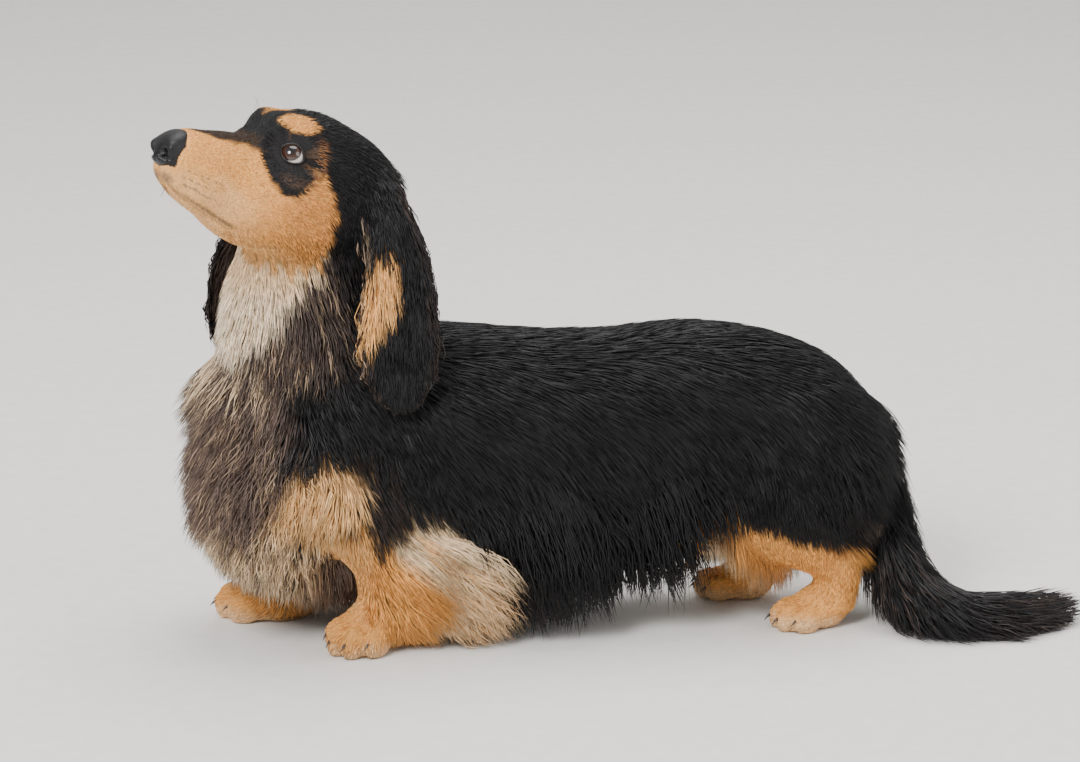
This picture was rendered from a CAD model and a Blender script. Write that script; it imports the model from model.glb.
"""The looks of a longhaired dachshund at life size, standing with its head raised and turned to its left.

The dog faces -X and its left side is -Y. All sizes are in metres. One skin stands for all the flesh, and a
coat of closed tufts grows on it along the lie of the hair. The eyes, the rims of the lids, the nose, the
claws and the whiskers are pieces of their own. The shape's stations are given from the middle of the trunk,
and place_on_frame says how far the finished pieces are moved to lie on the solids.
"""

import math
from collections import namedtuple

import bmesh
import bpy
import numpy as np
from mathutils import Matrix, Vector
from mathutils.bvhtree import BVHTree
from mathutils.kdtree import KDTree

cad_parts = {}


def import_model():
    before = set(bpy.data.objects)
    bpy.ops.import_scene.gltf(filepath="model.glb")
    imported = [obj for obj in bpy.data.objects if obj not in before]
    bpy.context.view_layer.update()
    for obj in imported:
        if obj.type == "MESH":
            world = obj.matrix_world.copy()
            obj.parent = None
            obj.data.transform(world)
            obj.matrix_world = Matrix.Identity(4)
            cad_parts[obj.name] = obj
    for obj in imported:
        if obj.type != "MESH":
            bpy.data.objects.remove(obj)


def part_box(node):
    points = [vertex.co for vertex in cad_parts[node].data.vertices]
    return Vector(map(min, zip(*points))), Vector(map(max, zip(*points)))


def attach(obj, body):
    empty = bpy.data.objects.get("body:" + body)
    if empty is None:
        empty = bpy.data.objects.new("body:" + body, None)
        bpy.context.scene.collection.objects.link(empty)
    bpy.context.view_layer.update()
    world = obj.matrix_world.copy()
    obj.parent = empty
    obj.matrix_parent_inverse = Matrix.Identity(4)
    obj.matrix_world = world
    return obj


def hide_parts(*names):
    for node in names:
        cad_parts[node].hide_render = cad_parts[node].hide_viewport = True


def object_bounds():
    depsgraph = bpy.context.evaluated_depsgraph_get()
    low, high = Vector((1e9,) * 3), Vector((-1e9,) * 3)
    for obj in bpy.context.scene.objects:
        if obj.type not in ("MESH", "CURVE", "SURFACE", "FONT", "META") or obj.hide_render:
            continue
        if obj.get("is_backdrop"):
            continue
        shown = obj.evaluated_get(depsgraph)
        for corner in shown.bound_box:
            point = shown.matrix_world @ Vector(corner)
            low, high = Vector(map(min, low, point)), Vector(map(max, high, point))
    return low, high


# Driving sizes
WITHERS = 0.242  # floor to the top of the shoulders
LENGTH = 0.515  # front of the chest to the back of the rump
CHEST = 0.168  # width over the ribs
HEAD = 0.224  # nose tip to the back of the skull
FRONT_TRACK = 0.092  # between the middles of the forepaws
HIND_TRACK = 0.082  # between the middles of the hind paws
FORE_STEP = 0.070  # how far the right forepaw stands ahead of the left one
HIND_STEP = 0.044
EYE_RADIUS = 0.0098
CORE = 0.40  # how far to the hair tips the smooth core of the long coat reaches

# Where the head is carried: the nose tip's place, and the turns that bring the level head to it
NOSE_TIP = Vector((-0.2997, -0.0991, 0.4066))
HEAD_PITCH = math.radians(25)
HEAD_YAW = math.radians(30)

SIDES = 32
STEPS = 6  # rings between two stations

# Stations of the torso. x is a share of LENGTH from its middle, top and low are shares of WITHERS, and
# wide, the half width, is a share of CHEST.
Slice = namedtuple("Slice", "x top low wide")
TORSO = [
    Slice(-0.480, 0.68, 0.46, 0.10),
    Slice(-0.462, 0.78, 0.36, 0.29),
    Slice(-0.415, 0.87, 0.28, 0.41),
    Slice(-0.345, 0.93, 0.245, 0.475),
    Slice(-0.250, 0.98, 0.235, 0.50),
    Slice(-0.135, 0.998, 0.24, 0.50),
    Slice(-0.010, 0.970, 0.265, 0.485),
    Slice(0.085, 0.965, 0.30, 0.455),
    Slice(0.165, 0.977, 0.33, 0.43),
    Slice(0.240, 0.982, 0.365, 0.42),
    Slice(0.320, 0.955, 0.39, 0.42),
    Slice(0.395, 0.905, 0.41, 0.40),
    Slice(0.450, 0.838, 0.445, 0.345),
    Slice(0.487, 0.75, 0.50, 0.26),
    Slice(0.508, 0.63, 0.55, 0.12),
]

# A limb is a tube: the middle of each section, its half depth fore and aft and its half width.
# Limbs are given for the left side with y outward, and their feet where the left ones stand.
Ring = namedtuple("Ring", "x y z deep wide")
NECK = [
    Ring(-0.150, 0.000, 0.130, 0.060, 0.060),
    Ring(-0.160, 0.000, 0.185, 0.080, 0.074),
    Ring(-0.168, -0.001, 0.235, 0.077, 0.064),
    Ring(-0.171, -0.004, 0.280, 0.068, 0.056),
    Ring(-0.163, -0.012, 0.320, 0.058, 0.050),
    Ring(-0.150, -0.016, 0.350, 0.046, 0.044),
]
FORELEG = [
    Ring(-0.150, 0.052, 0.170, 0.042, 0.026),
    Ring(-0.150, 0.060, 0.130, 0.042, 0.028),
    Ring(-0.138, 0.061, 0.095, 0.032, 0.027),
    Ring(-0.129, 0.053, 0.065, 0.022, 0.022),
    Ring(-0.127, 0.047, 0.040, 0.020, 0.022),
    Ring(-0.129, 0.046, 0.022, 0.022, 0.024),
]
HINDLEG = [
    Ring(0.195, 0.034, 0.170, 0.050, 0.030),
    Ring(0.190, 0.046, 0.135, 0.056, 0.031),
    Ring(0.188, 0.050, 0.100, 0.046, 0.028),
    Ring(0.206, 0.048, 0.072, 0.029, 0.022),
    Ring(0.227, 0.044, 0.050, 0.019, 0.017),
    Ring(0.226, 0.042, 0.032, 0.018, 0.017),
    Ring(0.222, 0.041, 0.018, 0.022, 0.019),
]
TAIL = [
    Ring(0.205, 0.000, 0.185, 0.022, 0.024),
    Ring(0.243, 0.000, 0.164, 0.020, 0.021),
    Ring(0.258, -0.003, 0.125, 0.017, 0.018),
    Ring(0.265, -0.010, 0.085, 0.015, 0.016),
    Ring(0.274, -0.028, 0.050, 0.014, 0.015),
    Ring(0.290, -0.052, 0.023, 0.013, 0.014),
    Ring(0.318, -0.066, 0.0125, 0.012, 0.013),
    Ring(0.350, -0.069, 0.0095, 0.010, 0.011),
    Ring(0.388, -0.062, 0.0065, 0.006, 0.007),
]
# The tail with its plume, out to the tips of the hair
PLUME = [
    Ring(0.205, 0.000, 0.185, 0.022, 0.024),
    Ring(0.243, 0.000, 0.164, 0.021, 0.023),
    Ring(0.258, -0.003, 0.125, 0.020, 0.022),
    Ring(0.266, -0.011, 0.085, 0.021, 0.022),
    Ring(0.276, -0.032, 0.052, 0.024, 0.025),
    Ring(0.292, -0.056, 0.025, 0.027, 0.034),
    Ring(0.322, -0.069, 0.0145, 0.022, 0.038),
    Ring(0.360, -0.070, 0.0105, 0.015, 0.030),
    Ring(0.416, -0.056, 0.0060, 0.007, 0.010),
]

# Long coat that hangs in a curtain: where its hair grows, where its tips reach, and its half thickness
Strand = namedtuple("Strand", "root tip thick")
RUFF = [
    Strand((-0.215, 0, 0.305), (-0.243, 0, 0.292), 0.030),
    Strand((-0.210, 0, 0.265), (-0.252, 0, 0.250), 0.042),
    Strand((-0.205, 0, 0.225), (-0.258, 0, 0.212), 0.050),
    Strand((-0.200, 0, 0.190), (-0.266, 0, 0.180), 0.054),
    Strand((-0.200, 0, 0.155), (-0.271, 0, 0.145), 0.054),
    Strand((-0.195, 0, 0.125), (-0.266, 0, 0.105), 0.050),
    Strand((-0.190, 0, 0.100), (-0.246, 0, 0.070), 0.042),
    Strand((-0.175, 0, 0.088), (-0.214, 0, 0.044), 0.032),
    Strand((-0.150, 0, 0.080), (-0.172, 0, 0.022), 0.024),
    Strand((-0.115, 0, 0.080), (-0.122, 0, 0.030), 0.022),
]
FRINGE = [
    Strand((-0.050, 0.036, 0.096), (-0.044, 0.050, 0.006), 0.015),
    Strand((0.000, 0.036, 0.098), (0.006, 0.050, 0.018), 0.015),
    Strand((0.035, 0.035, 0.102), (0.039, 0.048, 0.026), 0.014),
    Strand((0.075, 0.033, 0.106), (0.078, 0.045, 0.040), 0.013),
    Strand((0.108, 0.031, 0.112), (0.114, 0.042, 0.056), 0.012),
    Strand((0.128, 0.030, 0.116), (0.129, 0.040, 0.078), 0.010),
]
FEATHER = [
    Strand((-0.128, 0.056, 0.092), (-0.060, 0.060, 0.090), 0.011),
    Strand((-0.120, 0.053, 0.074), (-0.034, 0.060, 0.062), 0.013),
    Strand((-0.116, 0.050, 0.056), (-0.030, 0.058, 0.030), 0.014),
    Strand((-0.114, 0.048, 0.044), (-0.050, 0.056, 0.008), 0.013),
]
BREECHES = [
    Strand((0.225, 0.034, 0.180), (0.256, 0.036, 0.166), 0.014),
    Strand((0.230, 0.038, 0.150), (0.266, 0.040, 0.124), 0.014),
    Strand((0.228, 0.042, 0.120), (0.268, 0.042, 0.085), 0.013),
    Strand((0.220, 0.045, 0.100), (0.258, 0.042, 0.056), 0.011),
]

# The level head, with its nose tip at the origin: distance back from it, top, bottom and half width of the
# section, as shares of HEAD, and how high up the section its widest place is.
HeadSlice = namedtuple("HeadSlice", "back top low wide widest")
HEAD_SLICES = [
    HeadSlice(0.049, 0.030, -0.039, 0.030, 0.45),
    HeadSlice(0.065, 0.070, -0.071, 0.060, 0.42),
    HeadSlice(0.091, 0.096, -0.093, 0.080, 0.42),
    HeadSlice(0.128, 0.111, -0.113, 0.091, 0.42),
    HeadSlice(0.180, 0.122, -0.135, 0.101, 0.40),
    HeadSlice(0.262, 0.146, -0.155, 0.112, 0.40),
    HeadSlice(0.330, 0.170, -0.181, 0.130, 0.42),
    HeadSlice(0.400, 0.232, -0.200, 0.165, 0.48),
    HeadSlice(0.470, 0.275, -0.202, 0.200, 0.50),
    HeadSlice(0.560, 0.297, -0.198, 0.226, 0.50),
    HeadSlice(0.690, 0.300, -0.180, 0.236, 0.50),
    HeadSlice(0.790, 0.292, -0.140, 0.226, 0.50),
    HeadSlice(0.870, 0.266, -0.080, 0.198, 0.50),
    HeadSlice(0.945, 0.222, -0.010, 0.150, 0.50),
    HeadSlice(0.992, 0.160, 0.060, 0.070, 0.50),
]
NOSE_SLICES = [
    HeadSlice(0.024, 0.024, -0.014, 0.022, 0.50),
    HeadSlice(0.034, 0.050, -0.029, 0.047, 0.50),
    HeadSlice(0.051, 0.071, -0.040, 0.060, 0.50),
    HeadSlice(0.074, 0.088, -0.045, 0.064, 0.52),
    HeadSlice(0.097, 0.095, -0.036, 0.057, 0.55),
    HeadSlice(0.118, 0.093, -0.016, 0.040, 0.60),
]

# Places on the head, as distance back, sideways from the middle and height, in shares of HEAD
EYE_PLACE = (0.462, 0.118, 0.142)
EYE_AXIS = (-0.60, 0.76, 0.24)  # the way the left eye looks
LID = 0.0016  # thickness of the lids
MOUTH = [(0.048, 0.000, -0.060), (0.070, 0.050, -0.080), (0.118, 0.080, -0.100), (0.175, 0.100, -0.114),
         (0.262, 0.110, -0.130), (0.345, 0.125, -0.146)]

# Pushes on each side of the head: place in shares of HEAD, radius, and the push back, outward and up
HEAD_TOUCHES = [
    ((0.430, 0.150, 0.150), 0.014, (0.0030, -0.0050, 0.0000)),
    ((0.400, 0.070, 0.262), 0.013, (-0.0060, 0.0008, 0.0065)),
    ((0.600, 0.000, 0.297), 0.030, (0.0000, 0.0000, 0.0022)),
    ((0.350, 0.130, -0.120), 0.010, (0.0000, 0.0020, 0.0000)),
    ((0.330, 0.000, 0.190), 0.014, (0.0010, 0.0000, -0.0010)),
    ((0.200, 0.110, -0.080), 0.016, (0.0000, 0.0030, -0.0010)),
    ((0.300, 0.130, 0.020), 0.018, (0.0000, -0.0020, 0.0000)),
]

# The left ear: the middle of each level section, its half width, and how far its edges curl inward
EarRing = namedtuple("EarRing", "x y z wide curl")
EAR_LEFT = [
    EarRing(-0.134, -0.034, 0.380, 0.010, 0.002),
    EarRing(-0.130, -0.054, 0.368, 0.016, 0.005),
    EarRing(-0.123, -0.070, 0.342, 0.0205, 0.009),
    EarRing(-0.116, -0.079, 0.308, 0.0255, 0.010),
    EarRing(-0.117, -0.084, 0.268, 0.031, 0.009),
    EarRing(-0.116, -0.086, 0.232, 0.030, 0.007),
    EarRing(-0.115, -0.086, 0.208, 0.021, 0.004),
    EarRing(-0.114, -0.086, 0.197, 0.009, 0.001),
]
EAR_RIGHT = [
    EarRing(-0.166, 0.014, 0.384, 0.010, 0.002),
    EarRing(-0.173, 0.036, 0.371, 0.016, 0.005),
    EarRing(-0.190, 0.056, 0.342, 0.022, 0.009),
    EarRing(-0.206, 0.066, 0.308, 0.028, 0.010),
    EarRing(-0.217, 0.073, 0.268, 0.033, 0.009),
    EarRing(-0.221, 0.076, 0.232, 0.030, 0.007),
    EarRing(-0.221, 0.077, 0.208, 0.021, 0.004),
    EarRing(-0.220, 0.077, 0.197, 0.009, 0.001),
]
EAR_THICK = 0.0045
EARS = [("ear_left", -1, EAR_LEFT), ("ear_right", 1, EAR_RIGHT)]

Paw = namedtuple("Paw", "name x side track turn long wide high")
FOREPAW = (0.034, 0.027, 0.033)
HINDPAW = (0.029, 0.023, 0.028)
PAWS = [
    Paw("forepaw_left", -0.136, -1, FRONT_TRACK, math.radians(44), *FOREPAW),
    Paw("forepaw_right", -0.138 - FORE_STEP, 1, FRONT_TRACK - 0.010, math.radians(-14), *FOREPAW),
    Paw("hindpaw_left", 0.210, -1, HIND_TRACK, math.radians(16), *HINDPAW),
    Paw("hindpaw_right", 0.210 - HIND_STEP, 1, HIND_TRACK, math.radians(-14), *HINDPAW),
]
# Toes: places across and ahead in shares of the paw, and size
TOES = [(-0.74, 0.50, 0.90), (-0.27, 0.84, 1.0), (0.27, 0.84, 1.0), (0.74, 0.50, 0.90)]

# The skin's mesh
VOXEL = 0.0025
BLEND_ROUNDS = 34
FACE_REACH = 0.62  # share of the head, from the nose, that is meshed finer
EYE_REACH = 0.017  # round an eye, finer still
EAR_STEPS = 4
EAR_COLUMNS = 13
MOUTH_DEPTH = 0.0026
MOUTH_WIDTH = 0.0018
MOUTH_BARE = 0.0009  # how far from the line of the mouth the hair begins

# Where the photograph was taken from
CAMERA_TURN = math.radians(-8)  # from square on to the left side
CAMERA_RISE = math.radians(15)
CAMERA_DISTANCE = 3.4
CAMERA_TARGET = Vector((0, -0.005, 0.195))
SENSOR = 36.0
IMAGE_WIDTH = 1080
PIXELS_PER_METRE = 1300  # at the dog

# A kind of hair: width of a tuft, tufts on a square centimetre, how steeply it leaves the skin, how high
# its tips stand over the skin, how closely it follows the skin, how soon it falls, how far it gathers in
# clumps, how much it waves, and how deep the skin lies under the coat
Kind = namedtuple("Kind", "wide dense lift rise cling fall clump wave depth")
KINDS = {
    "face": Kind(0.00048, 92, 0.10, 0.0004, 1.00, 0.00, 0.05, 0.00, 0.0008),
    "cheek": Kind(0.00068, 46, 0.12, 0.0014, 0.95, 0.03, 0.25, 0.01, 0.0018),
    "crown": Kind(0.00082, 30, 0.10, 0.0022, 0.95, 0.02, 0.30, 0.01, 0.0024),
    "neck": Kind(0.00100, 14, 0.22, 0.0090, 0.50, 0.10, 0.60, 0.04, 0.0045),
    "throat": Kind(0.00085, 26, 0.30, 0.0120, 0.15, 0.12, 0.55, 0.06, 0.0045),
    "sleek": Kind(0.00108, 10, 0.10, 0.0034, 0.95, 0.02, 0.30, 0.02, 0.0036),
    "side": Kind(0.00108, 11, 0.12, 0.0055, 0.70, 0.08, 0.50, 0.04, 0.0040),
    "ruff": Kind(0.00088, 34, 0.60, 0.0190, 0.03, 0.13, 0.66, 0.08, 0.0045),
    "fringe": Kind(0.00100, 16, 0.14, 0.0070, 0.02, 0.28, 0.66, 0.05, 0.0035),
    "feather": Kind(0.00088, 72, 0.20, 0.0080, 0.02, 0.24, 0.42, 0.06, 0.0025),
    "breech": Kind(0.00092, 36, 0.35, 0.0090, 0.02, 0.18, 0.60, 0.06, 0.0030),
    "leg": Kind(0.00072, 33, 0.10, 0.0010, 0.95, 0.02, 0.25, 0.00, 0.0016),
    "paw": Kind(0.00066, 30, 0.12, 0.0008, 1.00, 0.00, 0.20, 0.00, 0.0012),
    "ear": Kind(0.00085, 22, 0.10, 0.0030, 0.60, 0.08, 0.60, 0.05, 0.0008),
    "tail": Kind(0.00100, 24, 0.32, 0.0120, 0.10, 0.02, 0.60, 0.05, 0.0030),
}

# Where the comb has been: the kind of hair, its place, the way it lies and its length. On the head a place
# is in shares of HEAD, back, outward and up, and each row also stands for the other side.
Comb = namedtuple("Comb", "kind place lie length")
HEAD_COMBS = [
    Comb("face", (0.10, 0.000, 0.11), (1, 0, 0.05), 0.0034),
    Comb("face", (0.28, 0.000, 0.15), (1, 0.1, 0.05), 0.0045),
    Comb("face", (0.38, 0.000, 0.22), (0.7, 0.1, 0.7), 0.0055),
    Comb("face", (0.42, 0.090, 0.25), (0.8, 0.3, 0.4), 0.0060),
    Comb("crown", (0.55, 0.000, 0.30), (1, 0, 0.1), 0.0100),
    Comb("crown", (0.75, 0.000, 0.30), (1, 0, -0.1), 0.0160),
    Comb("neck", (0.92, 0.000, 0.25), (0.6, 0, -0.8), 0.0260),
    Comb("face", (0.07, 0.040, -0.02), (1, 0.3, -0.1), 0.0028),
    Comb("face", (0.15, 0.090, 0.00), (1, 0.1, -0.15), 0.0034),
    Comb("face", (0.28, 0.110, 0.00), (1, 0.2, -0.10), 0.0042),
    Comb("face", (0.38, 0.130, 0.09), (0.8, 0.3, 0.2), 0.0042),
    Comb("face", (0.42, 0.160, 0.04), (1, 0.2, -0.10), 0.0048),
    Comb("cheek", (0.55, 0.200, 0.00), (1, 0.2, -0.30), 0.0080),
    Comb("cheek", (0.70, 0.210, 0.00), (0.7, 0.1, -0.80), 0.0170),
    Comb("cheek", (0.58, 0.200, 0.20), (1, 0.1, -0.25), 0.0090),
    Comb("crown", (0.75, 0.200, 0.20), (0.8, 0.1, -0.60), 0.0170),
    Comb("face", (0.08, 0.030, -0.11), (0.8, 0, -0.5), 0.0036),
    Comb("face", (0.25, 0.060, -0.16), (0.9, 0, -0.4), 0.0050),
    Comb("cheek", (0.45, 0.000, -0.20), (0.8, 0, -0.6), 0.0100),
    Comb("cheek", (0.60, 0.100, -0.19), (0.6, 0.1, -0.8), 0.0160),
]
# On the body a place is in metres from the middle of the trunk, with the left ones given as for the right
BODY_COMBS = [
    Comb("cheek", (-0.215, 0.000, 0.315), (-0.05, 0, -1), 0.014),
    Comb("throat", (-0.228, 0.000, 0.285), (-0.15, 0, -1), 0.030),
    Comb("throat", (-0.238, 0.020, 0.250), (-0.10, 0.1, -1), 0.040),
    Comb("neck", (-0.175, 0.060, 0.280), (0.3, 0.1, -1), 0.030),
    Comb("throat", (-0.200, 0.060, 0.245), (-0.1, 0.1, -1), 0.038),
    Comb("neck", (-0.110, 0.000, 0.300), (0.8, 0, -0.6), 0.034),
    Comb("neck", (-0.110, 0.050, 0.270), (0.6, 0, -0.8), 0.036),
    Comb("ruff", (-0.250, 0.020, 0.215), (-0.75, 0.1, -1), 0.058),
    Comb("ruff", (-0.262, 0.000, 0.175), (-0.55, 0, -1), 0.058),
    Comb("ruff", (-0.225, 0.060, 0.175), (-0.45, 0.1, -1), 0.046),
    Comb("ruff", (-0.262, 0.000, 0.130), (-0.25, 0, -1), 0.062),
    Comb("ruff", (-0.240, 0.050, 0.120), (-0.2, 0.1, -1), 0.055),
    Comb("ruff", (-0.240, 0.000, 0.090), (-0.1, 0, -1), 0.048),
    Comb("ruff", (-0.180, 0.090, 0.135), (-0.1, 0, -1), 0.030),
    Comb("fringe", (-0.200, 0.030, 0.075), (-0.1, 0, -1), 0.046),
    Comb("fringe", (-0.160, 0.000, 0.075), (0, 0, -1), 0.052),
    Comb("fringe", (-0.110, 0.000, 0.070), (0, 0, -1), 0.046),
    Comb("side", (-0.165, 0.085, 0.205), (0.5, 0, -0.9), 0.038),
    Comb("side", (-0.150, 0.085, 0.150), (0.3, 0, -0.9), 0.022),
    Comb("side", (-0.120, 0.080, 0.110), (0.5, 0, -0.8), 0.026),
    Comb("sleek", (-0.070, 0.000, 0.240), (1, 0, -0.1), 0.034),
    Comb("sleek", (0.030, 0.000, 0.235), (1, 0, -0.05), 0.034),
    Comb("sleek", (0.130, 0.000, 0.235), (1, 0, -0.05), 0.034),
    Comb("sleek", (-0.050, 0.075, 0.190), (0.8, 0, -0.6), 0.040),
    Comb("sleek", (0.050, 0.070, 0.190), (0.8, 0, -0.6), 0.040),
    Comb("sleek", (0.140, 0.065, 0.190), (0.8, 0, -0.6), 0.040),
    Comb("side", (-0.050, 0.084, 0.140), (0.55, 0, -0.8), 0.048),
    Comb("side", (0.050, 0.078, 0.140), (0.55, 0, -0.8), 0.048),
    Comb("side", (0.130, 0.070, 0.150), (0.55, 0, -0.8), 0.044),
    Comb("side", (-0.100, 0.084, 0.114), (0.4, 0.02, -0.9), 0.024),
    Comb("fringe", (-0.050, 0.078, 0.100), (0.4, -0.1, -1), 0.050),
    Comb("fringe", (-0.020, 0.076, 0.096), (0.3, 0, -1), 0.092),
    Comb("fringe", (0.015, 0.072, 0.098), (0.3, 0, -1), 0.092),
    Comb("fringe", (0.085, 0.058, 0.105), (0.3, 0, -1), 0.090),
    Comb("fringe", (-0.050, 0.000, 0.060), (0.2, 0, -1), 0.058),
    Comb("fringe", (0.060, 0.000, 0.075), (0.2, 0, -1), 0.042),
    Comb("sleek", (0.190, 0.000, 0.230), (1, 0, -0.3), 0.034),
    Comb("sleek", (0.235, 0.000, 0.200), (0.6, 0, -0.8), 0.044),
    Comb("sleek", (0.195, 0.075, 0.170), (0.6, 0, -0.8), 0.034),
    Comb("side", (0.190, 0.078, 0.120), (0.3, 0, -0.95), 0.024),
    Comb("fringe", (0.140, 0.035, 0.095), (0.1, 0, -1), 0.068),
    Comb("leg", (0.165, 0.062, 0.088), (0.2, 0, -1), 0.012),
    Comb("breech", (0.250, 0.035, 0.165), (0.2, 0, -1), 0.060),
    Comb("breech", (0.245, 0.045, 0.130), (0.2, 0, -1), 0.058),
]
# On the legs, with the feet where the left ones stand
FORE_COMBS = [
    Comb("leg", (-0.165, 0.060, 0.075), (-0.1, 0, -1), 0.008),
    Comb("leg", (-0.150, 0.080, 0.060), (0.0, 0, -1), 0.010),
    Comb("side", (-0.124, 0.088, 0.096), (0.2, 0, -1), 0.014),
    Comb("feather", (-0.108, 0.082, 0.080), (0.9, 0.10, -0.6), 0.060),
    Comb("feather", (-0.110, 0.072, 0.052), (0.9, 0.10, -0.5), 0.060),
    Comb("leg", (-0.135, 0.030, 0.060), (0.1, 0, -1), 0.010),
    Comb("paw", (-0.150, 0.050, 0.036), (-0.6, 0, -1), 0.007),
    Comb("paw", (-0.165, 0.040, 0.020), (-1, 0, -0.4), 0.007),
    Comb("paw", (-0.130, 0.060, 0.015), (-0.3, 0.3, -1), 0.006),
    Comb("feather", (-0.110, 0.055, 0.035), (0.7, 0.1, -0.6), 0.042),
]
HIND_COMBS = [
    Comb("leg", (0.190, 0.070, 0.075), (0.3, 0, -1), 0.012),
    Comb("leg", (0.225, 0.055, 0.060), (0, 0, -1), 0.009),
    Comb("leg", (0.215, 0.050, 0.040), (0, 0, -1), 0.008),
    Comb("feather", (0.172, 0.026, 0.088), (0.0, 0, -1), 0.060),
    Comb("paw", (0.200, 0.045, 0.025), (-1, 0, -0.3), 0.007),
    Comb("paw", (0.220, 0.060, 0.012), (-0.3, 0.3, -1), 0.006),
]
# Down the ears and the tail: length of the hair at each of their stations
EAR_LENGTHS = [0.014, 0.020, 0.026, 0.031, 0.032, 0.024, 0.014, 0.008]
TAIL_LENGTHS = [0.034, 0.044, 0.052, 0.058, 0.060, 0.062, 0.060, 0.052, 0.040]

# Pieces of the coat: rings in each tuft, and the record's slot that it takes its finish from
Region = namedtuple("Region", "rings slot")
REGIONS = {
    "coat_muzzle": Region(2, "tan_coat"),
    "coat_head": Region(2, "black_coat"),
    "coat_ear_left": Region(3, "black_coat"),
    "coat_ear_right": Region(3, "black_coat"),
    "coat_neck": Region(3, "black_coat"),
    "coat_chest": Region(4, "black_coat"),
    "coat_shoulders": Region(3, "black_coat"),
    "coat_back": Region(3, "black_coat"),
    "coat_loin": Region(3, "black_coat"),
    "coat_rump": Region(3, "black_coat"),
    "coat_belly": Region(4, "black_coat"),
    "coat_forelegs": Region(2, "tan_coat"),
    "coat_feathers": Region(4, "tan_coat"),
    "coat_breeches": Region(4, "black_coat"),
    "coat_hindlegs": Region(2, "tan_coat"),
    "coat_paws": Region(2, "tan_coat"),
    "coat_tail": Region(3, "black_coat"),
}
SEED = 23
SUNK = 0.0012  # how deep the root of a tuft lies in the skin
FLOOR_CLEAR = 0.0006
PATCH = 0.003  # size of a tuft on the map of the skin

# Colours
BLACK = (0.0070, 0.0066, 0.0080)
BROWN_BLACK = (0.048, 0.030, 0.023)
GREY_BROWN = (0.110, 0.076, 0.064)
GREY_FAWN = (0.27, 0.18, 0.135)
TAN = (0.84, 0.39, 0.100)
DEEP_TAN = (0.60, 0.24, 0.070)
PEACH = (0.86, 0.51, 0.215)
CREAM = (0.92, 0.71, 0.46)
WHITE = (0.96, 0.82, 0.65)
BLOND = (0.68, 0.48, 0.29)
UMBER = (0.13, 0.072, 0.040)
NOSE_BLACK = (0.0060, 0.0060, 0.0072)
LID_BLACK = (0.010, 0.008, 0.008)
CLAW = (0.040, 0.030, 0.026)
FLOOR = (0.78, 0.76, 0.73)

# Each side, and how far its fore and hind feet are moved ahead
BOTH_SIDES = [(-1, 0, 0), (1, FORE_STEP, HIND_STEP)]
COMB_REACH = 0.010  # nearer than this to a comb, its share levels off
COMB_POWER = 2.5  # how sharply one comb's hair gives way to the next
CHART_GAP = 0.006  # between two charts of the skin's map
LID_BLEND = 20  # how sharply the lids rise from the face
POCKET = 0.0012  # how deep the skin lies behind the front of the eyeball
SOLE = 0.0008  # the lowest that the skin reaches
# Folds of each side of the face: places in shares of HEAD, half width and depth
FACE_FOLDS = [
    ([(0.385, 0.12, 0.185), (0.43, 0.13, 0.222), (0.48, 0.14, 0.215), (0.52, 0.15, 0.180)], 0.0018, 0.0012),
    ([(0.370, 0.12, 0.165), (0.372, 0.13, 0.120), (0.395, 0.14, 0.075)], 0.0020, 0.0012),
    ([(0.395, 0.14, 0.060), (0.440, 0.16, 0.045), (0.490, 0.17, 0.060)], 0.0018, 0.0010),
    ([(0.345, 0.13, -0.140), (0.385, 0.14, -0.165), (0.430, 0.15, -0.195)], 0.0030, 0.0022),
]
LIMBS = ("foreleg", "hindleg", "paw", "feather")
EAR_FAN = (0.55, 0.50)  # how far the hair turns outward at the front and rear edges of the ears
CLEFT_WIDTH = 0.0022  # between the toes
CLEFT_DEPTH = 0.0030
DOWN = np.array((0, 0, -1.0))
FULLNESS = 0.86  # share of the tufts that the kinds of hair ask for
TUFT_THICK = 0.7  # of a tuft's half width
# By the length of the hair: how dark a tuft is at its root, and how far tufts differ
ROOT_SHADE = ((0.004, 0.020), (0.92, 0.68))
SKIN_SHADE = ((0.004, 0.016), (0.90, 0.48))
UNEVEN = ((0.004, 0.020), (0.06, 0.11))
# Edges of the markings. In shares of HEAD, each with what it is measured along first: behind the cheek by
# height, in front of the black round the eye by height, and under it by distance back.
CHEEK_LINE = [
    (-0.25, 0.60), (-0.201, 0.68), (-0.159, 0.70), (-0.062, 0.655),
    (0.014, 0.626), (0.075, 0.576), (0.119, 0.534), (0.16, 0.51),
]
PATCH_FRONT = [
    (-0.003, 0.420), (0.038, 0.389), (0.068, 0.361),
    (0.107, 0.345), (0.151, 0.346), (0.198, 0.352),
]
PATCH_FLOOR = [
    (0.340, 0.120), (0.361, 0.068), (0.389, 0.038), (0.441, -0.003),
    (0.479, 0.019), (0.505, 0.064), (0.534, 0.119), (0.600, 0.150),
]
# The black down the bridge of the nose: its half width by distance back
BRIDGE = [(0.10, 0.0), (0.15, 0.035), (0.22, 0.058), (0.30, 0.072), (0.34, 0.095), (0.38, 0.14)]
BROW_SPOTS = [
    ((0.460, 0.100, 0.250), (0.055, 0.055, 0.042)),
    ((0.420, 0.080, 0.235), (0.026, 0.030, 0.022)),
]
FAR_BROW_INWARD = 0.050  # how much nearer the middle the right spot lies
# Rows of dark spots on the lips, each from its first spot to its last, as distance back and height
WHISKER_ROWS = [((0.115, -0.028), (0.235, -0.032)), ((0.110, -0.052), (0.225, -0.062)),
                ((0.125, -0.074), (0.210, -0.088))]
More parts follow.
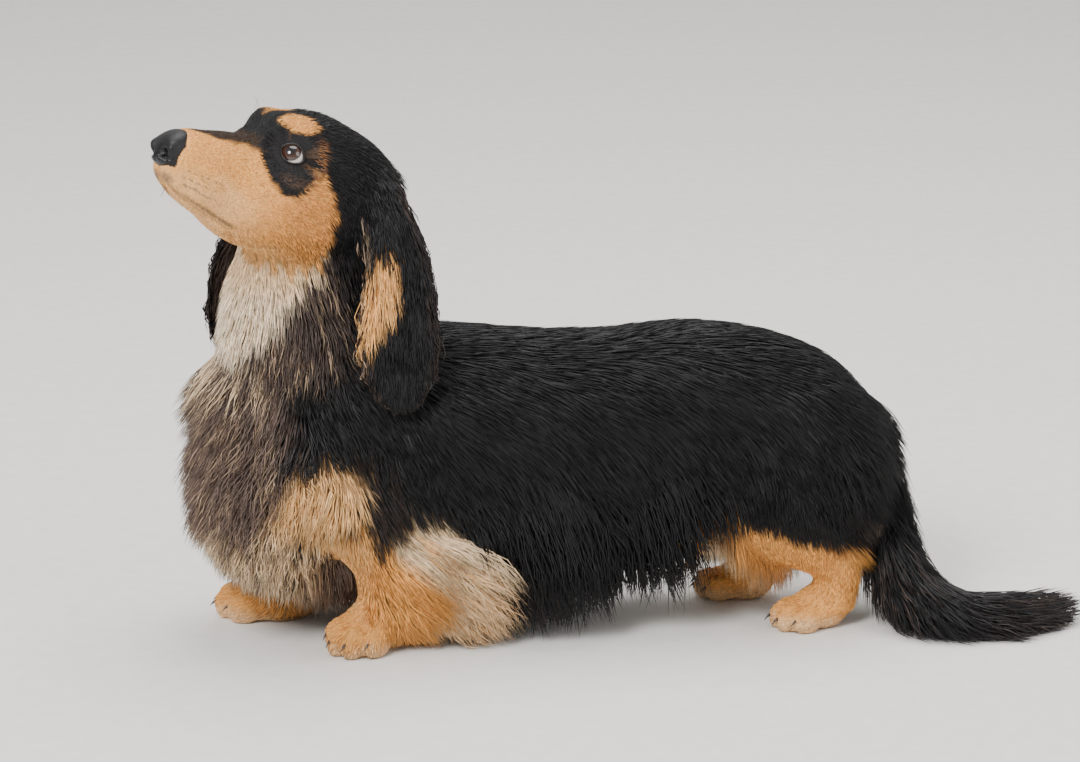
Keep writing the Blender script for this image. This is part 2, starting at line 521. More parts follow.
# On the body, in metres: the throat's rear edge by height, the lower edge of the black on the elbow and the
# upper edge of the tan on the thigh by distance back, and the inner edge of the tan on the ear, in shares
# of its half width, by height
THROAT_LINE = [
    (0.236, -0.238), (0.250, -0.222), (0.266, -0.206),
    (0.287, -0.194), (0.300, -0.182), (0.31, -0.178),
]
ELBOW_LINE = [
    (-0.152, 0.160), (-0.145, 0.125), (-0.141, 0.098), (-0.136, 0.082),
    (-0.126, 0.094), (-0.110, 0.108), (-0.080, 0.112),
]
THIGH_LINE = [(0.14, 0.106), (0.167, 0.088), (0.185, 0.078), (0.205, 0.074), (0.22, 0.077), (0.235, 0.080)]
EAR_PATCH = [(0.245, -0.95), (0.256, -0.70), (0.266, -0.50), (0.276, -0.35), (0.297, -0.05), (0.318, 0.02)]
# Whiskers: place and way in shares of HEAD, length, and how many
WHISKERS = [
    ((0.170, 0.110, -0.055), (0.1, 1.0, -0.30), 0.016, 6),
    ((0.400, 0.080, 0.260), (-0.3, 0.25, 1.0), 0.013, 3),
    ((0.110, 0.030, -0.130), (0.1, 0.2, -1.0), 0.008, 2),
]
WHISKER_WIDE = 0.00022
EYE_TILT = math.radians(14)  # how far the front corner is turned up
SIDE_LIMIT = (-0.125, 0.108)  # how far out the hair reaches, left and right
# The eye: how far its look is turned from the middle of the opening, and the swell in front of the iris
GAZE_UP = 0.10
GAZE_AHEAD = 0.23
CORNEA = 0.0072
CORNEA_RISE = 0.0008
RIM = 0.0009  # half thickness of the lids' wet edge
RIM_OUT = 0.0007
SLIT = (0.0093, 0.0074)  # half length and half height of the opening between the lids
SLIT_ROUND = 0.16  # how far its corners are drawn in
CLAW_LENGTH = 0.0046
CLAW_DROP = 0.0040
CLAW_RADIUS = 0.0014
# Pushes on each side of the nose: place in shares of HEAD, radius, and the push back, outward and up
NOSE_TOUCHES = [
    ((0.026, 0.030, 0.000), 0.0032, (0.0070, -0.0010, 0.0005)),
    ((0.034, 0.044, -0.010), 0.0022, (0.0030, -0.0022, 0.0)),
    ((0.046, 0.056, -0.014), 0.0022, (0.0016, -0.0030, 0.0)),
    ((0.062, 0.064, -0.014), 0.0020, (0.0010, -0.0026, 0.0)),
    ((0.040, 0.052, 0.022), 0.0040, (-0.0010, 0.0014, 0.0004)),
    ((0.024, 0.000, -0.016), 0.0014, (0.0014, 0.0, 0.0)),
    ((0.028, 0.000, -0.030), 0.0016, (0.0014, 0.0, 0.0)),
]
PAIRED = ("ear", "foreleg", "hindleg", "forepaw", "hindpaw")
FLESH_NODES = ["torso", "neck", "head"]
FLESH_NODES += [part + side for part in PAIRED for side in ("_left", "_right")]
FLESH_NODES += ["tail_base", "tail_end"]
LIGHTS = [
    ("key", (-1.8, -2.4, 2.6), 1.6, 170),
    ("top", (0.4, 0.6, 3.0), 2.6, 80),
    ("fill", (2.4, -1.6, 1.2), 2.0, 30),
]
WORLD_COLOUR = (1.0, 0.985, 0.96, 1)
WORLD_STRENGTH = 0.75
PIECES = []


def smooth_through(rows, steps):
    """Catmull-Rom values through the rows, with steps values for each stretch between two rows."""
    rows = np.array(rows, float)
    padded = np.vstack([2 * rows[0] - rows[1], rows, 2 * rows[-1] - rows[-2]])
    made = []
    for k in range(len(rows) - 1):
        before, start, end, after = padded[k : k + 4]
        for t in np.linspace(0, 1, steps, endpoint=False):
            linear = (end - before) * t
            square = (2 * before - 5 * start + 4 * end - after) * t**2
            cube = (3 * start - before - 3 * end + after) * t**3
            made.append(0.5 * (2 * start + linear + square + cube))
    made.append(rows[-1])
    return np.array(made)


def loft(bm, rings):
    """Adds a closed skin through rings, each a list of points in the same order."""
    loops = [[bm.verts.new(p) for p in ring] for ring in rings]
    count = len(loops[0])
    for lower, upper in zip(loops, loops[1:]):
        for k in range(count):
            following = (k + 1) % count
            bm.faces.new((lower[k], lower[following], upper[following], upper[k]))
    bm.faces.new(reversed(loops[0]))
    bm.faces.new(loops[-1])


def power(value, exponent):
    return math.copysign(abs(value) ** exponent, value)


def section(centre, across, upward, wide, high, low, boxy=1.0, sides=SIDES):
    """A ring round centre: half width wide, and high above and low below it. boxy under 1 squares it."""
    points = []
    for k in range(sides):
        turn = 2 * math.pi * k / sides
        rise = power(math.sin(turn), boxy)
        sideways = across * (wide * power(math.cos(turn), boxy))
        points.append(centre + sideways + upward * (rise * (high if rise > 0 else low)))
    return points


def torso_rings():
    rings = []
    for x, top, low, wide in smooth_through(TORSO, STEPS):
        middle = WITHERS * (low + (top - low) * 0.46)
        centre = Vector((x * LENGTH, 0, middle))
        high = WITHERS * top - middle
        deep = middle - WITHERS * low
        rings.append(section(centre, Vector((0, 1, 0)), Vector((0, 0, 1)), wide * CHEST, high, deep, 0.92))
    return rings


def tube_rings(rows, grow=0.0, steps=STEPS, sides=SIDES):
    """Rings across a path through the rows. They lean with the path, and stay level from side to side."""
    rows = smooth_through(rows, steps)
    centres = [Vector(row[:3]) for row in rows]
    rings = []
    for k, row in enumerate(rows):
        ahead = centres[min(k + 1, len(rows) - 1)] - centres[max(k - 1, 0)]
        ahead.normalize()
        across = Vector((0, 1, 0))
        across = (across - ahead * across.dot(ahead)).normalized()
        deep = row[3] + grow
        upward = across.cross(ahead)
        rings.append(section(centres[k], across, upward, row[4] + grow, deep, deep, 1.0, sides))
    return rings


def stepped(rows, side, step):
    """A left limb's rows on one side of the body, with the foot moved ahead by step."""
    moved = []
    for ring in rows:
        share = min(1.0, max(0.0, 1 - (ring.z - 0.045) / 0.105))
        moved.append(Ring(ring.x - step * share, side * ring.y, ring.z, ring.deep, ring.wide))
    return moved


def head_matrix():
    """From the level head's axes to the place where the dog carries it."""
    turn = Matrix.Rotation(HEAD_YAW, 4, "Z") @ Matrix.Rotation(HEAD_PITCH, 4, "Y")
    return Matrix.Translation(NOSE_TIP) @ turn


def on_head(back, aside, up, side=-1):
    """A place on the head in shares of HEAD. side is -1 on the left and 1 on the right."""
    return head_matrix() @ Vector((back * HEAD, side * aside * HEAD, up * HEAD))


def head_rings(slices, grow=0.0, steps=STEPS, sides=SIDES, boxy=0.86):
    place = head_matrix()
    rings = []
    for back, top, low, wide, widest in smooth_through(slices, steps):
        middle = HEAD * (low + (top - low) * widest)
        centre = Vector((back * HEAD, 0, middle))
        high = HEAD * top - middle + grow
        deep = middle - HEAD * low + grow
        wide = max(wide, 0.02) * HEAD + grow
        ring = section(centre, Vector((0, 1, 0)), Vector((0, 0, 1)), wide, high, deep, boxy, sides)
        rings.append([place @ p for p in ring])
    if grow:
        back = head_matrix().to_3x3() @ Vector((grow, 0, 0))
        rings[0] = [p - back for p in rings[0]]
        rings[-1] = [p + back for p in rings[-1]]
    return rings


def ball(bm, centre, radii, matrix=None, segments=20):
    rows = segments // 2 + 2
    made = bmesh.ops.create_uvsphere(bm, u_segments=segments, v_segments=rows, radius=1.0)["verts"]
    shape = Matrix.Translation(centre) @ (matrix or Matrix.Identity(4)) @ Matrix.Diagonal((*radii, 1))
    bmesh.ops.transform(bm, matrix=shape, verts=made)


def paw_matrix(paw):
    return Matrix.Translation((paw.x, paw.side * paw.track / 2, 0)) @ Matrix.Rotation(paw.turn, 4, "Z")


def add_paw(bm, paw):
    """A pad with four toes that spread from it."""
    turn = Matrix.Rotation(paw.turn, 4, "Z")
    place = paw_matrix(paw)
    pad = (paw.long * 0.84, paw.wide * 0.94, paw.high * 0.66)
    ball(bm, place @ Vector((0.004, 0, paw.high * 0.50)), pad, turn)
    for across, ahead, size in TOES:
        middle = Vector((-ahead * paw.long, across * paw.wide, paw.high * 0.34))
        radii = (paw.long * 0.44, paw.wide * 0.31 * size, paw.high * 0.48 * size)
        ball(bm, place @ middle, radii, turn)


def curtain_rings(strands, side=1, step=0.0, grow=0.0, reach=CORE):
    """Blade-like sections, one across each strand, from deep in the flesh to the tips of the hair."""
    rings = []
    rows = [(*strand.root, *strand.tip, strand.thick) for strand in strands]
    for row in smooth_through(rows, 3):
        root = Vector((row[0] - step, side * row[1], row[2]))
        tip = root.lerp(Vector((row[3] - step, side * row[4], row[5])), reach)
        way = (tip - root).normalized()
        thick = Vector((0, row[6] + grow, 0))
        root -= way * grow
        tip += way * grow
        middle = root.lerp(tip, 0.55)
        ring = [root - thick, middle - thick * 0.85, tip - thick * 0.35]
        rings.append(ring + [tip + thick * 0.35, middle + thick * 0.85, root + thick])
    if grow:
        for edge, inner in ((0, 1), (-1, -2)):
            out = (rings[edge][1] - rings[inner][1]).normalized() * grow
            rings[edge] = [p + out for p in rings[edge]]
    return rings


def tail_rows():
    """The tail's stations, with the core of its plume."""
    return [Ring(*(np.array(bare) + (np.array(full) - bare) * CORE)) for bare, full in zip(TAIL, PLUME)]


def near(points, centre, radius):
    """A soft weight for points round a centre: 1 there, fading over radius."""
    away = np.linalg.norm(points - np.array(centre), axis=1)
    return np.exp(-((away / radius) ** 2))


def eye_frame(side):
    """Centre of an eyeball and its axes: along the slit, up, and the way it looks."""
    look = (head_matrix().to_3x3() @ Vector((EYE_AXIS[0], side * EYE_AXIS[1], EYE_AXIS[2]))).normalized()
    level = head_matrix().to_3x3() @ Vector((0, 0, 1))
    up = (level - look * level.dot(look)).normalized()
    up = Matrix.Rotation(EYE_TILT * side, 3, look) @ up
    centre = on_head(*EYE_PLACE, side) - look * EYE_RADIUS * 0.35
    return centre, look.cross(up), up, look


def from_eyes(points):
    """How far points are from the middle of the nearer eye."""
    eyes = [np.array(eye_frame(side)[0]) for side in (-1, 1)]
    return np.min([np.linalg.norm(points - eye, axis=1) for eye in eyes], axis=0)


def in_eye_frame(points, side):
    """Points along and up the slit of an eye and outward from its middle."""
    centre, along, up, look = eye_frame(side)
    return (points - np.array(centre)) @ np.array((along, up, look)).T


def head_shares(points):
    """Back, sideways and up from the nose tip, in shares of HEAD."""
    turn = np.array(head_matrix().inverted())
    return ((points @ turn[:3, :3].T + turn[:3, 3]) / HEAD).T


def surface_points(tree, places, side, out):
    """Places on the head moved on to its surface, looking in from the side."""
    turn = head_matrix().to_3x3()
    found = []
    for back, aside, up in places:
        way = (turn @ Vector((-0.25 + back * 0.5, side * aside * 8, -0.25))).normalized()
        target = on_head(back, 0, up, side)
        hit = tree.ray_cast(target + way * 0.08, -way)
        found.append(hit[0] + way * out)
    return found


def ear_rings(rows, side, steps=EAR_STEPS, columns=EAR_COLUMNS):
    """Crescent sections across a hanging ear, hollow on the side that faces the neck."""
    rows = smooth_through(rows, steps)
    centres = [Vector(row[:3]) for row in rows]
    rings = []
    for k, row in enumerate(rows):
        ahead = (centres[min(k + 1, len(rows) - 1)] - centres[max(k - 1, 0)]).normalized()
        across = Vector((1, 0, 0))
        across = (across - ahead * across.dot(ahead)).normalized()
        out = ahead.cross(across) * -side
        outer = []
        inner = []
        for t in np.linspace(-1, 1, columns):
            edge = EAR_THICK / 2 * math.sqrt(max(0.0, 1 - (0.92 * t) ** 2))
            spread = centres[k] + across * (row[3] * t) - out * (row[4] * t * t)
            outer.append(spread + out * edge)
            inner.append(spread - out * edge)
        rings.append(outer + inner[::-1])
    return rings


def fill_flesh(bm):
    """Adds every form of the flesh, and names the form that each point belongs to."""
    owners = []

    def add(name, fill, *values):
        before = len(bm.verts)
        fill(bm, *values)
        owners.extend([name] * (len(bm.verts) - before))

    add("torso", loft, torso_rings())
    add("neck", loft, tube_rings(NECK))
    add("head", loft, head_rings(HEAD_SLICES))
    add("tail", loft, tube_rings(tail_rows()))
    add("ruff", loft, curtain_rings(RUFF))
    for name, side, rows in EARS:
        add(name, loft, ear_rings(rows, side))
    for side, fore, hind in BOTH_SIDES:
        add("fringe", loft, curtain_rings(FRINGE, side))
        add("breeches", loft, curtain_rings(BREECHES, side, hind * 0.2))
        add("feather", loft, curtain_rings(FEATHER, side, fore * 0.5))
        add("foreleg", loft, tube_rings(stepped(FORELEG, side, fore)))
        add("hindleg", loft, tube_rings(stepped(HINDLEG, side, hind)))
        add("torso", ball, Vector((-0.150, side * 0.050, 0.155)), (0.058, 0.034, 0.066))
        add("hindleg", ball, Vector((0.192, side * 0.044, 0.142)), (0.060, 0.032, 0.064))
    for paw in PAWS:
        add("paw", add_paw, paw)
    return owners


def owners_of(points, places, owners):
    """The name of the form that each point lies on."""
    tree = KDTree(len(places))
    for k, place in enumerate(places):
        tree.insert(place, k)
    tree.balance()
    return np.array([owners[tree.find(point)[1]] for point in points])


def points_of(mesh):
    points = np.empty(len(mesh.vertices) * 3)
    mesh.vertices.foreach_get("co", points)
    return points.reshape(-1, 3)


def evaluated_copy(obj):
    graph = bpy.context.evaluated_depsgraph_get()
    return bpy.data.meshes.new_from_object(obj.evaluated_get(graph), depsgraph=graph)


def with_modifiers(mesh, add):
    """The mesh that comes out of the modifiers that add puts on an object."""
    obj = new_object("form", mesh)
    add(obj)
    made = evaluated_copy(obj)
    bpy.data.objects.remove(obj)
    return made


def fused_flesh():
    """The flesh as one smooth closed mesh, and the name of the form under each of its points."""
    bm = bmesh.new()
    owners = fill_flesh(bm)
    places = [v.co.copy() for v in bm.verts]
    bmesh.ops.triangulate(bm, faces=bm.faces, quad_method="FIXED")
    bmesh.ops.recalc_face_normals(bm, faces=bm.faces)
    mesh = bpy.data.meshes.new("forms")
    bm.to_mesh(mesh)
    bm.free()

    def fuse(obj):
        remesh = obj.modifiers.new("fuse", "REMESH")
        remesh.mode = "VOXEL"
        remesh.voxel_size = VOXEL

    mesh = with_modifiers(mesh, fuse)
    points = points_of(mesh)
    names = owners_of(points, places, owners)
    firm = 1 / (1 + np.exp(-(points[:, 2] - 0.325) / 0.008))
    firm = np.maximum(firm, 1 / (1 + np.exp((points[:, 2] - 0.035) / 0.006)))
    firm = np.maximum(firm, np.char.startswith(names, "ear_"))
    firm = np.maximum(firm, 0.9 * (names == "feather"))
    soft = 1 - firm * 0.92

    def blend(obj):
        group = obj.vertex_groups.new(name="soft")
        for k, weight in enumerate(soft.tolist()):
            group.add([k], weight, "REPLACE")
        even = obj.modifiers.new("even", "SMOOTH")
        even.factor = 0.6
        even.iterations = BLEND_ROUNDS
        even.vertex_group = "soft"
        light = obj.modifiers.new("light", "SMOOTH")
        light.factor = 0.5
        light.iterations = 3

    return with_modifiers(mesh, blend), places, owners


def refine(bm, wanted):
    """Splits each edge whose ends both pass a test, and evens what that makes."""
    chosen = {v for v in bm.verts if wanted(v.co)}
    edges = [e for e in bm.edges if e.verts[0] in chosen and e.verts[1] in chosen]
    made = bmesh.ops.subdivide_edges(bm, edges=edges, cuts=1, use_grid_fill=True)
    fresh = [g for g in made["geom"] if isinstance(g, bmesh.types.BMVert)]
    bmesh.ops.smooth_vert(bm, verts=fresh, factor=0.5, use_axis_x=True, use_axis_y=True, use_axis_z=True)


def push_both_sides(points, touches):
    """Moves points on each side of the head or nose by soft pushes."""
    turn = np.array(head_matrix().to_3x3())
    for side in (-1, 1):
        for place, radius, push in touches:
            way = turn @ np.array((push[0], side * push[1], push[2]))
            points += near(points, on_head(*place, side), radius)[:, None] * way


def shape_eyes(points):
    """Lifts the lids over the eyeballs and sinks the opening between them."""
    for side in (-1, 1):
        centre, along, up, look = eye_frame(side)
        local = in_eye_frame(points, side)
        away = np.linalg.norm(local, axis=1)
        close = (away < EYE_REACH * 1.6) & (local[:, 2] > -EYE_RADIUS * 0.5)
        here = local[close]
        distance = away[close]
        lidded = EYE_RADIUS + LID
        lifted = (distance**LID_BLEND + lidded**LID_BLEND) ** (1 / LID_BLEND)
        on_ball = here / distance[:, None] * EYE_RADIUS
        reach = np.where(in_opening(on_ball), EYE_RADIUS - POCKET, lifted)
        reached = here / distance[:, None] * reach[:, None]
        points[close] = np.array(centre) + reached @ np.array((along, up, look))


def in_opening(local):
    """Whether places round an eye, along and up its slit and outward, lie between the lids."""
    across = np.abs(local[:, 0]) / SLIT[0]
    rise = np.sqrt(np.clip(1 - across**2, 0, 1)) * (1 - SLIT_ROUND * across**2)
    return (np.abs(local[:, 1]) < SLIT[1] * rise) & (local[:, 2] > 0)


def mouth_path(tree):
    left = surface_points(tree, smooth_through(MOUTH, 8), -1, 0)
    right = surface_points(tree, smooth_through(MOUTH[1:], 8), 1, 0)
    return np.array(left[::-1] + right)


def folds(skin):
    """The folds of the face, and the clefts between the toes: a path, half width and depth for each."""
    tree = BVHTree.FromPolygons(skin.points.tolist(), skin.faces.tolist())
    for side in (-1, 1):
        for places, width, deep in FACE_FOLDS:
            yield np.array(surface_points(tree, smooth_through(places, 6), side, 0)), width, deep
    for paw in PAWS:
        place = paw_matrix(paw)
        for toe, following in zip(TOES, TOES[1:]):
            across = (toe[0] + following[0]) / 2 * paw.wide
            ahead = (toe[1] + following[1]) / 2 * paw.long
            profile = ((-0.35, 0.92), (-0.75, 0.88), (-1.05, 0.66), (-1.30, 0.35), (-1.34, 0.05))
            path = [place @ Vector((x * ahead, across, z * paw.high)) for x, z in profile]
            yield np.array(path), CLEFT_WIDTH, CLEFT_DEPTH


def away_from_path(points, path):
    """How far each point is from the nearest stretch of a path, and how far along the path that is."""
    best = np.full(len(points), 9.0)
    along = np.zeros(len(points))
    for k in range(len(path) - 1):
        stretch = path[k + 1] - path[k]
        share = np.clip((points - path[k]) @ stretch / (stretch @ stretch), 0, 1)
        away = np.linalg.norm(points - path[k] - share[:, None] * stretch, axis=1)
        closer = away < best
        best[closer] = away[closer]
        along[closer] = k + share[closer]
    return best, along / (len(path) - 1)


class Skin:
    """The skin's points and faces, with what the coat needs to know at each of them."""

    def __init__(self):
        mesh, places, owners = fused_flesh()
        bm = bmesh.new()
        bm.from_mesh(mesh)
        inverse = head_matrix().inverted()
        eyes = [eye_frame(side)[0] for side in (-1, 1)]
        refine(bm, lambda co: co.z > 0.3 and (inverse @ co).x < FACE_REACH * HEAD)
        refine(bm, lambda co: min((co - eye).length for eye in eyes) < EYE_REACH)
        bmesh.ops.triangulate(bm, faces=bm.faces)
        bm.to_mesh(mesh)
        bm.free()
        points = points_of(mesh)
        push_both_sides(points, HEAD_TOUCHES)
        tree = BVHTree.FromPolygons(points.tolist(), [p.vertices for p in mesh.polygons])
        self.mouth = mouth_path(tree)
        shape_eyes(points)
        self.mesh = mesh
        self.points = points
        self.names = owners_of(points, places, owners)
        self.faces = np.empty(len(mesh.polygons) * 3, int)
        mesh.polygons.foreach_get("vertices", self.faces)
        self.faces = self.faces.reshape(-1, 3)
        self.comb()
        self.sink()
        self.centres = self.points[self.faces].mean(axis=1)
        self.outward = normalised(self.normals[self.faces].mean(axis=1))
        self.chart()
        self.tree = BVHTree.FromPolygons(self.points.tolist(), self.faces.tolist())

    def update(self):
        self.mesh.vertices.foreach_set("co", self.points.ravel())
        self.mesh.update()
        normals = np.empty(len(self.points) * 3)
        self.mesh.vertices.foreach_get("normal", normals)
        self.normals = normals.reshape(-1, 3)

    def comb(self):
        """The way the hair lies at each point, with its length and kind, from the nearest combs."""
        self.update()
        count = len(self.points)
        self.lie = np.zeros((count, 3))
        self.length = np.zeros(count)
        self.kind = np.zeros((count, len(Kind._fields)))
        ears = np.char.startswith(self.names, "ear_")
        for family, combs in all_combs().items():
            mine = self.names == family if family.startswith("ear_") else ~ears
            points = self.points[mine]
            places = np.array([comb.place for comb in combs])
            away = np.linalg.norm(points[:, None, :] - places[None], axis=2)
            weights = (away**2 + COMB_REACH**2) ** -COMB_POWER
            limb = np.isin(self.names[mine], LIMBS)
            short = np.isin([comb.kind for comb in combs], ("leg", "paw"))
            weights *= np.where(limb[:, None] | ~short, 1, 0.05)
            weights /= weights.sum(axis=1, keepdims=True)
            self.lie[mine] = weights @ np.array([comb.lie for comb in combs])
            self.length[mine] = weights @ np.array([comb.length for comb in combs])
            self.kind[mine] = weights @ np.array([KINDS[comb.kind] for comb in combs])
        for side in (-1, 1):
            centre, _, _, look = (np.array(value) for value in eye_frame(side))
            local = self.points - centre
            close = smooth_step(EYE_REACH * 1.15, EYE_RADIUS * 1.15, np.linalg.norm(local, axis=1))[:, None]
            round_eye = normalised(local - (local @ look)[:, None] * look)
            self.lie = self.lie * (1 - close) + round_eye * close
            self.length *= 1 - 0.55 * close[:, 0]
        self.fan_ears()
        inward = np.minimum((self.lie * self.normals).sum(axis=1, keepdims=True), 0)
        self.lie = normalised(self.lie - self.normals * inward)

    def fan_ears(self):
        """Turns the hair at the front and rear edges of the ears outward."""
        for name, _, rows in EARS:
            share = ear_share(self.points, rows)
            mine = self.names == name
            forward = mine * smooth_step(-0.55, -0.95, share) * EAR_FAN[0]
            back = mine * smooth_step(0.55, 0.95, share) * EAR_FAN[1]
            self.lie[:, 0] += back - forward

    def sink(self):
        """Sets the skin under the coat and draws in the line of the mouth."""
        shallow = smooth_step(EYE_RADIUS * 1.3, EYE_REACH, from_eyes(self.points))
        depth = self.kind[:, Kind._fields.index("depth")] * shallow
        self.points -= self.normals * depth[:, None]
        away, share = away_from_path(self.points, self.mouth)
        inner = np.exp(-((away / MOUTH_WIDTH) ** 2)) * MOUTH_DEPTH
        self.points -= self.normals * inner[:, None]
        for path, width, deep in folds(self):
            away, share = away_from_path(self.points, path)
            inner = np.exp(-((away / width) ** 2)) * deep * np.sin(math.pi * np.clip(share, 0.08, 0.92))
            self.points -= self.normals * inner[:, None]
        self.points[:, 2] = np.maximum(self.points[:, 2], SOLE)
        self.update()

    def chart(self):
        """Unwraps the skin: faces of one form that look one way make a chart, and charts lie in rows."""
        axis = np.abs(self.outward).argmax(axis=1)
        sign = np.take_along_axis(self.outward, axis[:, None], axis=1)[:, 0] > 0
        form = np.unique(self.names, return_inverse=True)[1][self.faces[:, 0]]
        left = self.centres[:, 1] < 0
        charts = ((form * 3 + axis) * 2 + sign) * 2 + left
        corners = self.points[self.faces]
        flat = np.empty((len(charts), 3, 2))
        for k, pair in enumerate(((1, 2), (0, 2), (0, 1))):
            flat[axis == k] = corners[axis == k][:, :, pair]
        boxes = []
        for chart in np.unique(charts):
            mine = charts == chart
            low = flat[mine].min(axis=(0, 1))
            flat[mine] -= low
            boxes.append((chart, *flat[mine].max(axis=(0, 1))))
        boxes.sort(key=lambda box: -box[2])
        wide = math.sqrt(sum(box[1] * box[2] for box in boxes)) * 1.12
        x = y = row = 0.0
        for chart, width, height in boxes:
            if x + width > wide and x > 0:
                x = 0.0
                y += row + CHART_GAP
                row = 0.0
            flat[charts == chart] += (x, y)
            x += width + CHART_GAP
            row = max(row, height)
        self.map = flat / flat.max() * 0.98 + 0.01
        layer = self.mesh.uv_layers.new(name="OFBake")
        layer.data.foreach_set("uv", self.map.ravel())

    def nearest(self, spots):
        """The nearest place on the skin to each spot, the way it faces, and its face."""
        found = [self.tree.find_nearest(spot) for spot in spots.tolist()]
        places = np.array([hit[0] for hit in found])
        faces = np.array([hit[2] for hit in found])
        return places, self.outward[faces], faces


def normalised(vectors):
    return vectors / np.maximum(np.linalg.norm(vectors, axis=-1, keepdims=True), 1e-9)


def smooth_step(low, high, value):
    t = np.clip((value - low) / (high - low), 0, 1)
    return t * t * (3 - 2 * t)


def ear_share(points, rows):
    """Where points lie across an ear: -1 on its front edge and 1 on its rear edge."""
    table = np.array(rows)[::-1]
    middle = np.interp(points[:, 2], table[:, 2], table[:, 0])
    wide = np.interp(points[:, 2], table[:, 2], table[:, 3])
    return (points[:, 0] - middle) / wide


def all_combs():
    """Every comb in metres, for the ears each by itself and for all the rest together."""
    body = []
    turn = head_matrix().to_3x3()
    for side, fore, hind in BOTH_SIDES:
        for comb in HEAD_COMBS:
            lie = turn @ Vector((comb.lie[0], side * comb.lie[1], comb.lie[2]))
            body.append(comb._replace(place=tuple(on_head(*comb.place, side)), lie=tuple(lie.normalized())))
        for combs, step in ((BODY_COMBS, 0), (FORE_COMBS, fore), (HIND_COMBS, hind)):
            for comb in combs:
                x, y, z = comb.place
                lie = Vector((comb.lie[0], side * comb.lie[1], comb.lie[2])).normalized()
                body.append(comb._replace(place=(x - step, side * y, z), lie=tuple(lie)))
        body += strand_combs("fringe", FRINGE, side, 0, 1.45)
        body += strand_combs("feather", FEATHER, side, fore * 0.5, 1.5)
        body += strand_combs("breech", BREECHES, side, hind * 0.2, 1.3)
    body += path_combs("tail", tail_rows(), TAIL_LENGTHS)
    ears = {name: path_combs("ear", rows, EAR_LENGTHS) for name, _, rows in EARS}
    return {"body": body, **ears}


def strand_combs(kind, strands, side, step, share):
    """Combs along the lower edge of a curtain, with hair that reaches the tips of its strands."""
    combs = []
    for root, tip, _ in strands:
        root = Vector((root[0] - step, side * root[1], root[2]))
        whole = Vector((tip[0] - step, side * tip[1], tip[2])) - root
        place = root + whole * CORE
        combs.append(Comb(kind, tuple(place), tuple(whole.normalized()), whole.length * (1 - CORE) * share))
    return combs


def path_combs(kind, rows, lengths):
    """Combs down the middle of an ear or tail, that lie along it."""
    centres = [Vector(row[:3]) for row in rows]
    combs = []
    for k, (centre, length) in enumerate(zip(centres, lengths)):
        way = centres[min(k + 1, len(centres) - 1)] - centres[max(k - 1, 0)]
        combs.append(Comb(kind, tuple(centre), tuple(way.normalized()), length))
    return combs


def ripple(points, size, seed):
    """Smooth noise from about -1 to 1 whose features have a size."""
    draws = np.random.default_rng(seed)
    total = np.zeros(len(points))
    for _ in range(7):
        way = draws.normal(size=3)
        way *= 2 * math.pi / size * draws.uniform(0.6, 1.5) / np.linalg.norm(way)
        total += np.sin(points @ way + draws.uniform(0, 2 * math.pi))
    return total / 3.5


def blob(points, centre, radii, soft=0.25):
    """1 inside an ellipsoid, fading over its edge."""
    away = np.linalg.norm((points - np.array(centre)) / np.array(radii), axis=1)
    return 1 - smooth_step(1 - soft, 1 + soft, away)


class Paint:
    """Colours at the root and the tip of hair that grows at some points."""

    def __init__(self, points, normals, names):
        self.points = points
        self.normals = normals
        self.names = names
        self.root = np.tile(BLACK, (len(points), 1))
        self.tip = self.root.copy()

    def lay(self, mask, root, tip=None):
        mask = mask[:, None]
        self.root += (np.array(root) - self.root) * mask
        self.tip += (np.array(tip or root) - self.tip) * mask


def markings(points, normals, names):
    """The dog's markings: black above, tan below, with cream wisps and a grey-brown ruff."""
    paint = Paint(points, normals, names)
    trunk_markings(paint)
    limb_markings(paint)
    head_markings(paint)
    ear_markings(paint)
    return paint.root, paint.tip


def above(value, line, soft):
    """1 where a value is over a line, and 0 where it is under it, with a soft edge."""
    return smooth_step(-soft, soft, value - line)


